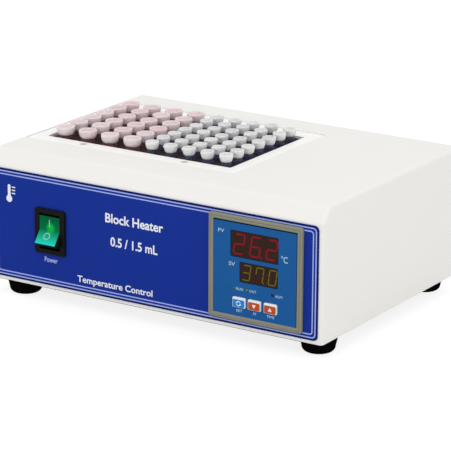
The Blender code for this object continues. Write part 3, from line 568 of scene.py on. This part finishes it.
def linked_object(name, mesh):
    """A bare object from a bmesh, which is freed."""
    bmesh.ops.recalc_face_normals(mesh, faces=mesh.faces)
    data = bpy.data.meshes.new(name)
    mesh.to_mesh(data)
    mesh.free()
    made = bpy.data.objects.new(name, data)
    bpy.context.scene.collection.objects.link(made)
    return made


def evaluated_mesh(thing):
    """A bmesh of the object with its modifiers applied. The object is removed."""
    bpy.context.view_layer.update()
    graph = bpy.context.evaluated_depsgraph_get()
    data = bpy.data.meshes.new_from_object(thing.evaluated_get(graph), depsgraph=graph)
    mesh = bmesh.new()
    mesh.from_mesh(data)
    bpy.data.objects.remove(thing)
    bpy.data.meshes.remove(data)
    return mesh


def carved(mesh, tools):
    """The mesh with the tools cut out of it."""
    body = linked_object("body", mesh)
    tool = linked_object("tool", gathered(tools))
    cut = body.modifiers.new("cut", "BOOLEAN")
    cut.object = tool
    cut.operation = "DIFFERENCE"
    cut.solver = "EXACT"
    result = evaluated_mesh(body)
    bpy.data.objects.remove(tool)
    return result


def piece(name, mesh, paints, body="casing", replaces=(), smooth=35, bevel=None):
    """A shown piece from a bmesh in millimetres, riding on a body."""
    bmesh.ops.scale(mesh, vec=(MM, MM, MM), verts=mesh.verts)
    made = linked_object(name, mesh)
    for paint in paints:
        made.data.materials.append(paint)
    made.data.shade_smooth()
    made.data.set_sharp_from_angle(angle=math.radians(smooth))
    if bevel:
        soften(made, bevel)
    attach(made, body)
    if replaces:
        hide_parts(*replaces)
    return made


def soften(thing, width, steps=2):
    """A small rounding on the sharp edges, with the flats kept flat in the shading."""
    bevel = thing.modifiers.new("bevel", "BEVEL")
    bevel.width = width * MM
    bevel.segments = steps
    bevel.limit_method = "ANGLE"
    bevel.angle_limit = math.radians(BEVEL_ANGLE)
    bevel.use_clamp_overlap = True
    bevel.harden_normals = True
    normals = thing.modifiers.new("normals", "WEIGHTED_NORMAL")
    normals.keep_sharp = True


def dress(node, paint, width=0.2):
    """A carried-over CAD node: its finish, and its edges softened by modifiers."""
    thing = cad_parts[node]
    for slot in thing.material_slots:
        slot.material = paint
    weld = thing.modifiers.new("weld", "WELD")
    weld.merge_threshold = WELD_DISTANCE * MM
    flat = thing.modifiers.new("flat", "DECIMATE")
    flat.decimate_type = "DISSOLVE"
    flat.angle_limit = math.radians(FLAT_ANGLE)
    soften(thing, width)


# --- lettering ----------------------------------------------------------------------------------
def letters(words, weight):
    """Raised letters one unit high and thick, centred on x = 0, in Blender's own font."""
    data = bpy.data.curves.new("letters", "FONT")
    data.body = words
    data.align_x = "CENTER"
    data.offset = weight
    data.extrude = 0.5
    data.resolution_u = 4
    thing = bpy.data.objects.new("letters", data)
    bpy.context.scene.collection.objects.link(thing)
    mesh = evaluated_mesh(thing)
    bpy.data.curves.remove(data)
    bmesh.ops.remove_doubles(mesh, verts=mesh.verts, dist=0.0005)
    return mesh


def capital_height():
    mesh = letters("H", 0.0)
    high = max(vert.co.y for vert in mesh.verts)
    mesh.free()
    return high


CAPITAL = capital_height()


def lettering(words, cap, at, width=None, weight=0.0):
    """Printing that faces -y: baseline through at = (x, y, z), y being the surface it is on."""
    mesh = letters(words, weight)
    xs = [vert.co.x for vert in mesh.verts]
    up = cap / CAPITAL
    across = width / (max(xs) - min(xs)) if width else up
    middle = (max(xs) + min(xs)) / 2
    for vert in mesh.verts:
        x, y, z = vert.co
        vert.co = (at[0] + (x - middle) * across, at[1] - (z + 0.5) * INK, at[2] + y * up)
    return mesh


# the segments that each figure lights: a is the top one, then clockwise, and g is the middle one
SEGMENTS = {"0": "abcdef", "2": "abdeg", "3": "abcdg", "6": "acdefg", "7": "abcf"}


def bar(start, end, stroke):
    """The outline of one display segment: a bar with pointed ends."""
    a, b = Vector(start), Vector(end)
    along = (b - a).normalized() * (stroke / 2)
    side = Vector((-along.y, along.x))
    return [a, a + along + side, b - along + side, b, b - along - side, a + along - side]


def digit(figure, at, size, stroke, slant):
    """A seven-segment figure facing -y, with its lower left corner at (x, y, z)."""
    w, h = size
    ends = {
        "a": ((0, h), (w, h)),
        "b": ((w, h / 2), (w, h)),
        "c": ((w, 0), (w, h / 2)),
        "d": ((0, 0), (w, 0)),
        "e": ((0, 0), (0, h / 2)),
        "f": ((0, h / 2), (0, h)),
        "g": ((0, h / 2), (w, h / 2)),
    }
    lean = math.tan(math.radians(slant))
    parts = []
    for name in SEGMENTS[figure]:
        start, end = (Vector(p) for p in ends[name])
        inset = (end - start).normalized() * (stroke * 0.12)
        outline = bar(start + inset, end - inset, stroke)
        outline = [(at[0] + p.x + p.y * lean, at[2] + p.y) for p in outline]
        parts.append(prism(outline, "Y", at[1] - INK, at[1]))
    return gathered(parts)


# --- casing -------------------------------------------------------------------------------------
def casing():
    """The sheet metal, with its screws and brackets."""
    paint = white_paint()
    dress("upper_housing", paint, 0.3)
    dress("rear_panel", paint, 0.25)
    # the base plate's near-black colour is painted shade of the gap under the casing
    dress("base_plate", plate_steel_painted_shade(), 0.2)
    frame_paint = white_frame_paint()
    dress("well_frame", frame_paint, 0.35)
    pale_steel = surface("pale_steel", (0.62, 0.62, 0.60), 0.45, specular=0.3, patch=2.0, drift=0.1)
    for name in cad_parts:
        if name.startswith("well_frame_screw"):
            dress(name, pale_steel, 0.08)
        elif name.startswith("rear_panel_screw"):
            dress(name, zinc_steel_paint, REAR_SCREW_EDGE)
        elif "screw" in name or name.startswith("tray_bracket") or name == "heater_clamp_plate":
            dress(name, zinc_steel_paint, SCREW_EDGE)


def front_film():
    """The blue film with its pinstripes, lettering and pictogram."""
    low, high = box_mm("front_overlay")
    w, h = high.x - low.x, high.z - low.z
    middle = ((low.x + high.x) / 2, (low.z + high.z) / 2)
    bend = 0.06  # the rounding of the film's front edge
    film = panel(middle, (w, h), 3.5, [(0, high.y), (0, low.y + bend), (bend, low.y)])
    openings = []
    for node, inset in (("switch_body", 1.35), ("controller_case", -0.3)):
        a, b = box_mm(node)
        openings.append(panel(
            ((a.x + b.x) / 2, (a.z + b.z) / 2),
            (b.x - a.x - 2 * inset, b.z - a.z - 2 * inset),
            0.5,
            [(0, low.y - 1), (0, high.y + 1)],
        ))
    film = carved(film, openings)
    piece("front_film", film, [blue_film()], replaces=["front_overlay"])

    printed = bmesh.new()
    face = low.y
    navy, pale, white = range(3)
    for inset, width, corner, ink in ((0.12, 0.9, 3.4, navy), (1.5, 0.8, 2.9, pale), (3.7, 0.8, 2.4, pale)):
        size = (w - 2 * inset, h - 2 * inset)
        profile = [(0, face), (0, face - INK), (width, face - INK), (width, face)]
        merge(printed, panel(middle, size, corner, profile, closed=True), ink)
    right = CASE_HIGH.x  # print places are measured leftwards from the casing's right side
    base = CASE_LOW.z
    for words, cap, leftwards, up, width, weight, ink in (
        ("Block Heater", 6.2, 147.2, 56.0, 47.0, 0.022, white),
        ("0.5 / 1.5 mL", 6.0, 147.4, 39.8, 38.3, 0.022, white),
        ("Temperature Control", 4.4, 163.3, 9.5, 62.0, 0.018, white),
        ("Power", 3.4, 216.4, 19.2, 11.0, 0.02, pale),
    ):
        line = lettering(words, cap, (right - leftwards, face, base + up), width, weight)
        merge(printed, line, ink)
    pictogram(printed, (right - 250.0, face, base + 63.3), white)
    piece("front_printing", printed, [navy_ink(), stripe_ink(), white_ink()])


def pictogram(target, at, ink):
    """A generic sign: a bare thermometer beside three tick marks."""
    x, y, z = at
    stem = rounded_rect(x - 1.5, z + 1.6, 2.4, 9.4, 1.2)
    merge(target, prism(stem, "Y", y - INK, y), ink)
    bulb = circle(x - 1.5, z - 3.9, 2.5, 28)
    merge(target, prism(bulb, "Y", y - INK * 1.2, y), ink)
    for step in (0.2, 2.4, 4.6):
        tick = rounded_rect(x + 2.2, z + step, 3.0, 0.8, 0.3)
        merge(target, prism(tick, "Y", y - INK, y), ink)


def feet():
    """Tapered rubber feet with a hole for the screw and a recess for its head."""
    paint = rubber()
    for where in ("front_left", "front_right", "rear_left", "rear_right"):
        low, high = box_mm(f"foot_{where}")
        x, y = (low.x + high.x) / 2, (low.y + high.y) / 2
        top, wide = high.z, (high.x - low.x) / 2
        hole_r, recess = 2.5, 4.6
        profile = [(hole_r, top), (wide - 0.3, top), (wide, top - 0.3), (wide - 0.15, top - 1.5)]
        profile += arc(wide - 5.2, 4.0, 4.0, 0, -90, 10)
        profile += [(6.0, 0), (5.5, 0.4), (5.4, recess), (hole_r, recess)]
        rings = [lifted(circle(x, y, r, 56), "Z", z) for r, z in profile]
        foot = loft(rings, closed=True)
        piece(f"rubber_foot_{where}", foot, [paint], replaces=[f"foot_{where}"])


# --- blocks and tubes ---------------------------------------------------------------------------
def well_grid(node, columns, rows):
    """Middles of a block's wells, row by row from the front, at the block's top."""
    low, high = box_mm(node)
    pitch = ((high.x - low.x) / columns, (high.y - low.y) / rows)
    return [
        Vector((low.x + (i + 0.5) * pitch[0], low.y + (j + 0.5) * pitch[1], high.z))
        for j in range(rows)
        for i in range(columns)
    ]


def drilled_block(name, node, body, centres, well_r, straight, depth):
    """A block with wells that run straight and then end in a cone."""
    low, high = box_mm(node)
    middle = ((low.x + high.x) / 2, (low.y + high.y) / 2)
    edge = BLOCK_EDGE
    profile = [
        (edge, low.z), (0, low.z + edge), (0, high.z - edge),
        (edge * 0.3, high.z - edge * 0.3), (edge, high.z),
    ]
    block = panel(middle, (high.x - low.x, high.y - low.y), 1.0, profile, axis="Z")
    mouth = well_r + CHAMFER
    bore = [(mouth, 1), (mouth, 0), (well_r, -CHAMFER), (well_r, -straight), (TIP_R, -depth)]
    wells = [turned(bore, centre, WELL_SIDES) for centre in centres]
    piece(name, carved(block, wells), [block_paint], body, [node], smooth=30)


def one_tube(profile_body, profile_cap, cap_r, lug, at, turn, tilt, tint_and_shade):
    """A tube standing in its well: (body, cap) bmeshes with their tint in a vertex layer, which also holds
    painted shade in the cap's hollow top.
    """
    move = Matrix.Translation(at) @ Matrix.Rotation(tilt, 4, "X") @ Matrix.Rotation(turn, 4, "Z")
    body = turned(profile_body, (0, 0, 0))
    cap = turned(profile_cap, (0, 0, 0))
    rim = max(z for _, z in profile_cap)
    for side, reach, width in ((1, lug, LUG_WIDTH), (-1, lug * 0.75, HINGE_WIDTH)):
        out = side * (cap_r - LUG_ROOT + reach / 2)
        tongue = rounded_rect(0, out, width, reach + 2 * LUG_ROOT, 0.55, 4)
        merge(cap, prism(tongue, "Z", rim - LUG_BOTTOM, rim - LUG_TOP))
    for mesh in (body, cap):
        layer = mesh.verts.layers.float.new("tint_and_shade")
        for vert in mesh.verts:
            # painted shade: the hollow top of each cap is drawn halfway towards the darker drift colour
            in_hollow_shade = vert.co.xy.length < cap_r * HOLLOW_SHADE_SHARE and vert.co.z > rim - HOLLOW_SHADE_DEPTH
            vert[layer] = tint_and_shade * 0.5 + (0.5 if in_hollow_shade else 0.0)
        bmesh.ops.transform(mesh, matrix=move, verts=mesh.verts)
    return body, cap


def tubes(label, body, centres, profile_body, profile_cap, cap_r, lug, paints, chance):
    """All the tubes of one block: one piece for their bodies and one for their caps."""
    bodies, caps = bmesh.new(), bmesh.new()
    for centre in centres:
        height = chance.uniform(-0.25, 0.45)
        turn = math.radians(chance.uniform(-14, 14))
        tilt = math.radians(chance.uniform(-1.2, 1.2))
        at = centre + Vector((0, 0, height))
        tube, cap = one_tube(profile_body, profile_cap, cap_r, lug, at, turn, tilt, chance.random())
        merge(bodies, tube)
        merge(caps, cap)
    piece(f"{label}_bodies", bodies, [paints[0]], body, smooth=40)
    piece(f"{label}_caps", caps, [paints[1]], body, smooth=40)


def heating_section():
    """Both blocks with their tubes, and what heats and senses them underneath."""
    chance = random.Random(SEED)
    large = well_grid("heating_block_1_5ml", 4, 6)
    small = well_grid("heating_block_0_5ml", 5, 7)
    drilled_block("drilled_block_1_5ml", "heating_block_1_5ml", "block_1_5ml", large, 5.6, 34.0, 36.5)
    drilled_block("drilled_block_0_5ml", "heating_block_0_5ml", "block_0_5ml", small, 4.1, 26.5, 28.5)
    pink = (
        # the pink bodies keep their pink but are far darker than their caps: painted shade between the caps
        # and the block and down in the wells
        tube_plastic("pink_tube_body_painted_shade", (0.30, 0.14, 0.15), (0.34, 0.12, 0.14), 0.55),
        tube_plastic("pink_tube_cap", (0.99, 0.88, 0.89), (0.90, 0.68, 0.72), 0.02),
    )
    tubes(
        "tubes_1_5ml", "block_1_5ml", large,
        LARGE_TUBE, LARGE_CAP, LARGE_CAP_R, LARGE_LUG, pink, chance,
    )
    clear = (
        # the clear bodies are dark navy: painted shade of the wells seen through them
        tube_plastic("clear_tube_body_painted_shade", (0.09, 0.10, 0.20), (0.13, 0.14, 0.25), 0.5),
        tube_plastic("clear_tube_cap", (0.99, 0.985, 0.98), (0.83, 0.83, 0.86), 0.02),
    )
    tubes(
        "tubes_0_5ml", "block_0_5ml", small,
        SMALL_TUBE, SMALL_CAP, SMALL_CAP_R, SMALL_LUG, clear, chance,
    )
    dress("heating_tray", aluminium(), 0.3)
    silicone_paint = silicone()
    dress("heater_mat", silicone_paint, 0.2)
    dress("heater_lead", silicone_paint, 0.05)
    dress("insulation_jacket", ceramic_wool(), 0.5)
    dress("temperature_probe", zinc_steel_paint, 0.1)
    dress("thermal_cutout", black_paint, 0.2)


# --- temperature controller ---------------------------------------------------------------------
def controller():
    """The panel controller: bezel, printed face, windows, lamps, and its case behind the panel."""
    low, high = box_mm("controller_bezel")
    middle = ((low.x + high.x) / 2, (low.z + high.z) / 2)
    size = high.x - low.x
    face_low, _ = box_mm("controller_face")
    opening = face_low.x - low.x
    face = face_low.y
    groove = low.y + 0.3
    lip = face - 0.12
    inner = opening - 0.55
    profile = [
        (0, high.y), (0, low.y + 0.7), (0.2, low.y + 0.2), (0.6, low.y), (1.35, low.y),
        (1.5, groove), (1.75, groove), (1.9, low.y), (opening - 0.9, low.y),
        (opening - 0.35, low.y + 0.08), (opening, lip), (inner, lip), (inner, high.y),
    ]
    bezel = panel(middle, (size, size), 1.6, profile, closed=True)
    piece(
        "bezel_frame", bezel, [beige_plastic()],
        replaces=["controller_bezel"], smooth=50,
    )
    dress("controller_face", face_print(), 0.08)
    window = display_window()
    dress("pv_display", window, 0.15)
    dress("sv_display", window, 0.15)
    dress("run_lamp", lamp_lens("run_lens", (0.045, 0.10, 0.008), 0.8), 0.1)
    dress("output_lamp", lamp_lens("output_lens", (0.13, 0.10, 0.006), 0.8), 0.1)
    dress("alarm_lamp", lamp_lens("alarm_lens", (0.006, 0.010, 0.03), 0.0), 0.1)
    dress("controller_case", black_paint, 0.3)
    dress("controller_clamp", black_paint, 0.3)
    dress("controller_circuit_board", circuit_green(), 0.1)
    displays()
    controller_labels(low, face)


def displays():
    """The lit figures: measured value above, set value below."""
    for name, node, figures, stroke, colour in (
        ("measured_value_figures", "pv_display", "26.2", 1.15, (0.21, 0.003, 0.012)),
        ("set_value_figures", "sv_display", "37.0", 0.8, (0.12, 0.105, 0.005)),
    ):
        low, high = box_mm(node)
        w, h = high.x - low.x, high.z - low.z
        tall = h * FIGURE_TALL
        wide = tall * FIGURE_WIDE
        foot = low.z + (h - tall) / 2
        mesh = bmesh.new()
        column = 0
        for figure in figures:
            if figure == ".":
                dot = low.x + w * (FIRST_DOT + FIGURE_PITCH * (column - 1)) + wide / 2 + stroke * 0.7
                outline = circle(dot, foot, stroke * 0.55, 20)
                merge(mesh, prism(outline, "Y", low.y - INK, low.y))
                continue
            x = low.x + w * (FIRST_FIGURE + FIGURE_PITCH * column) - wide / 2
            merge(mesh, digit(figure, (x, low.y, foot), (wide, tall), stroke, FIGURE_SLANT))
            column += 1
        piece(name, mesh, [lit_segment(name + "_glow", colour)], smooth=20)


def controller_labels(corner, face):
    """Small printing on the controller's face, placed from the bezel's lower left corner."""
    printed = bmesh.new()
    for words, cap, x, z, width in (
        ("PV", 2.4, 9.8, 59.4, 4.8),
        ("SV", 2.5, 18.3, 37.8, 5.0),
        ("°C", 4.2, 58.6, 46.4, 5.0),
        ("RUN", 1.7, 24.4, 21.7, 5.4),
        ("OUT", 1.7, 34.6, 21.7, 5.4),
        ("ALM", 1.7, 54.5, 21.7, 5.4),
        ("SET", 1.7, 24.3, 6.7, 5.0),
        ("AT", 1.7, 36.2, 6.7, 3.0),
        ("TIME", 1.7, 48.5, 6.7, 6.0),
    ):
        merge(printed, lettering(words, cap, (corner.x + x, face, corner.z + z), width, 0.012))
    piece("controller_lettering", printed, [label_ink()])


def keys():
    """White caps, each with a coloured pad that carries its symbol."""
    white, azure, orange = key_white(), azure_key(), orange_key()
    for name, node, paint, slot in (
        ("set", "set_button", azure, "azure_key"),
        ("down", "down_button", orange, "orange_key"),
        ("up", "up_button", orange, "orange_key"),
    ):
        low, high = box_mm(node)
        x, z = (low.x + high.x) / 2, (low.z + high.z) / 2
        w, h = high.x - low.x, high.z - low.z
        front = low.y
        back = front + 2.6
        cap_profile = [(0, back), (0, front + 0.55), (0.15, front + 0.2), (0.55, front)]
        cap = panel((x, z), (w, h), 0.9, cap_profile)
        pad_z = z - 0.55
        pad_profile = [(0, front + 0.3), (0, front - 0.06), (0.15, front - 0.14)]
        pad = panel((x, pad_z), (w - 1.1, h - 1.9), 0.8, pad_profile)
        plunger = rounded_rect(x, z, 3.0, 3.0, 0.4, 2)
        mesh = bmesh.new()
        merge(mesh, cap, 0)
        merge(mesh, prism(plunger, "Y", front + 2.4, high.y), 0)
        merge(mesh, pad, 1)
        key_mark(mesh, name, (x, front - 0.13, pad_z))
        piece(f"{name}_key", mesh, [white, paint], f"{name}_key", [node], smooth=40)


def key_mark(mesh, name, at):
    """The white symbol on a key: a triangle that points up or down, or a turning arrow."""
    x, y, z = at
    if name == "set":
        for start in (20, 200):
            end = start + 130
            outline = arc(x, z, 1.75, start, end, 12) + arc(x, z, 1.2, end, start, 12)
            merge(mesh, prism(outline, "Y", y - 0.08, y), 0)
            a = math.radians(end)
            tip = Vector((x + 1.47 * math.cos(a), z + 1.47 * math.sin(a)))
            ahead = Vector((-math.sin(a), math.cos(a)))
            side = Vector((math.cos(a), math.sin(a)))
            head = [tip + side * 0.75, tip + ahead * 1.0, tip - side * 0.75]
            merge(mesh, prism(head, "Y", y - 0.09, y), 0)
        return
    way = 1 if name == "up" else -1
    outline = [(x - 1.55, z - way * 1.1), (x + 1.55, z - way * 1.1), (x, z + way * 1.45)]
    merge(mesh, prism(outline, "Y", y - 0.08, y), 0)


# --- power switch -------------------------------------------------------------------------------
def power_switch():
    """The switch, with its two marks laid on the rocker where a line from the front meets it."""
    dress("switch_body", black_paint, 0.5)
    dress("switch_contact", brass_paint, 0.1)
    low, high = box_mm("switch_rocker")
    dress("switch_rocker", rocker_lens(low, high), 0.5)
    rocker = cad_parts["switch_rocker"]
    tree = BVHTree.FromPolygons(
        [vert.co / MM for vert in rocker.data.vertices],
        [tuple(face.vertices) for face in rocker.data.polygons],
    )
    body_low, body_high = box_mm("switch_body")
    x, z = (low.x + high.x) / 2, (body_low.z + body_high.z) / 2
    marks = bmesh.new()
    ink = 0.08
    stroke = 0.7
    outer_r, tall = 2.6, 5.3
    ring_profile = [(outer_r, 0), (outer_r, -ink), (outer_r - stroke, -ink), (outer_r - stroke, 0)]
    zero = loft([lifted(circle(0, 0, r), "Y", level) for r, level in ring_profile], closed=True)
    one = prism(rounded_rect(0, 0, stroke, tall, 0.2, 3), "Y", -ink, 0)
    for mark, across, height in ((zero, x - 0.7, z - 2.5), (one, x, z + 6.2)):
        point, normal, _, _ = tree.ray_cast(Vector((across, low.y - 10, height)), Vector((0, 1, 0)))
        facing = Vector((0, -1, 0)).rotation_difference(normal).to_matrix().to_4x4()
        merge(marks, mark, 0, Matrix.Translation(point) @ facing)
    piece("switch_marks", marks, [green_lit_white_mark()], "rocker", smooth=20)


def green_lit_white_mark():
    # white print, coloured green as painted light: the lamp's glow through the lens
    return surface(
        "green_lit_white_mark", (0.22, 0.66, 0.48), 0.45,
        patch=2.0, drift=0.05, grain=0.3, depth=0.003,
    )


# --- rear and inside ----------------------------------------------------------------------------
def rear_and_inside():
    dress("power_inlet", black_paint, 0.4)
    dress("fuse_drawer", black_paint, 0.3)
    dress("fuse", fuse_glass(), 0.15)
    for name in ("inlet_pin_live", "inlet_pin_neutral", "inlet_pin_earth", "earth_stud"):
        dress(name, brass_paint, 0.3)
    dress("solid_state_relay", black_paint, 0.4)
    dress("mains_lead", cable_jacket(), 0.05)


# --- studio -------------------------------------------------------------------------------------
def floor():
    """A plain pale floor, bright enough to meet the white background."""
    mesh = bmesh.new()
    bmesh.ops.create_circle(mesh, cap_ends=True, radius=9.0, segments=64)
    made = linked_object("floor", mesh)
    paint = bpy.data.materials.new("pale_floor")
    paint.use_nodes = True
    tree = paint.node_tree
    tree.nodes.remove(tree.nodes["Principled BSDF"])
    matt = node_of(tree, "ShaderNodeBsdfDiffuse", Color=(0.80, 0.80, 0.80, 1))
    shaded = node_of(tree, "ShaderNodeBsdfDiffuse", Color=(0.24, 0.24, 0.24, 1))
    bright = node_of(tree, "ShaderNodeEmission", Strength=0.84)
    seen = tree.nodes.new("ShaderNodeAddShader")
    tree.links.new(shaded.outputs["BSDF"], seen.inputs[0])
    tree.links.new(bright.outputs["Emission"], seen.inputs[1])
    path = tree.nodes.new("ShaderNodeLightPath")
    choice = tree.nodes.new("ShaderNodeMixShader")
    tree.links.new(path.outputs["Is Camera Ray"], choice.inputs["Fac"])
    tree.links.new(matt.outputs["BSDF"], choice.inputs[1])
    tree.links.new(seen.outputs["Shader"], choice.inputs[2])
    tree.links.new(choice.outputs["Shader"], tree.nodes["Material Output"].inputs["Surface"])
    made.data.materials.append(paint)


def background():
    """White to the camera, and softer as a light."""
    world = bpy.data.worlds.new("studio")
    bpy.context.scene.world = world
    world.use_nodes = True
    tree = world.node_tree
    shade = tree.nodes["Background"]
    path = tree.nodes.new("ShaderNodeLightPath")
    strength = spread(tree, path.outputs["Is Camera Ray"], 0.86, 1.0)
    tree.links.new(strength, shade.inputs["Strength"])
    shade.inputs["Color"].default_value = (1, 1, 1, 1)


def softbox(name, azimuth, elevation, distance, size, watts, colour=(1, 1, 1)):
    """A square soft light that faces the object from a direction, both angles in degrees."""
    data = bpy.data.lights.new(name, "AREA")
    data.size = size
    data.energy = watts
    data.color = colour
    lamp = bpy.data.objects.new(name, data)
    a, e = math.radians(azimuth), math.radians(elevation)
    back = Vector((math.sin(a) * math.cos(e), -math.cos(a) * math.cos(e), math.sin(e)))
    lamp.location = back * distance
    lamp.rotation_mode = "QUATERNION"
    lamp.rotation_quaternion = (-back).to_track_quat("-Z", "Y")
    bpy.context.scene.collection.objects.link(lamp)


def camera():
    data = bpy.data.cameras.new("camera")
    data.lens = LENS
    data.sensor_width = SENSOR
    data.clip_start = 0.05
    made = bpy.data.objects.new("camera", data)
    bpy.context.scene.collection.objects.link(made)
    target = Vector(((CASE_LOW.x + CASE_HIGH.x) / 2 + AIM_RIGHT, CASE_LOW.y, CASE_LOW.z + AIM_UP)) * MM
    a, e = math.radians(AZIMUTH), math.radians(ELEVATION)
    back = Vector((math.sin(a) * math.cos(e), -math.cos(a) * math.cos(e), math.sin(e)))
    made.location = target + back * (DISTANCE * MM)
    made.rotation_mode = "QUATERNION"
    level = (-back).to_track_quat("-Z", "Y")
    made.rotation_quaternion = level @ Matrix.Rotation(math.radians(ROLL), 4, "Z").to_quaternion()
    bpy.context.scene.camera = made


# --- the scene ----------------------------------------------------------------------------------
zinc_steel_paint = zinc_steel()
black_paint = black_plastic()
brass_paint = brass()
block_paint = block_aluminium()

casing()
front_film()
feet()
heating_section()
controller()
keys()
power_switch()
rear_and_inside()

floor()
background()
softbox("key_light", -8, 42, 2.2, 1.6, 5.2)
softbox("side_light", 80, 30, 2.2, 1.4, 5.5, (1.0, 0.97, 0.90))
softbox("top_light", 0, 88, 2.0, 1.6, 1.2)
camera()
bpy.context.scene.view_settings.view_transform = "Standard"
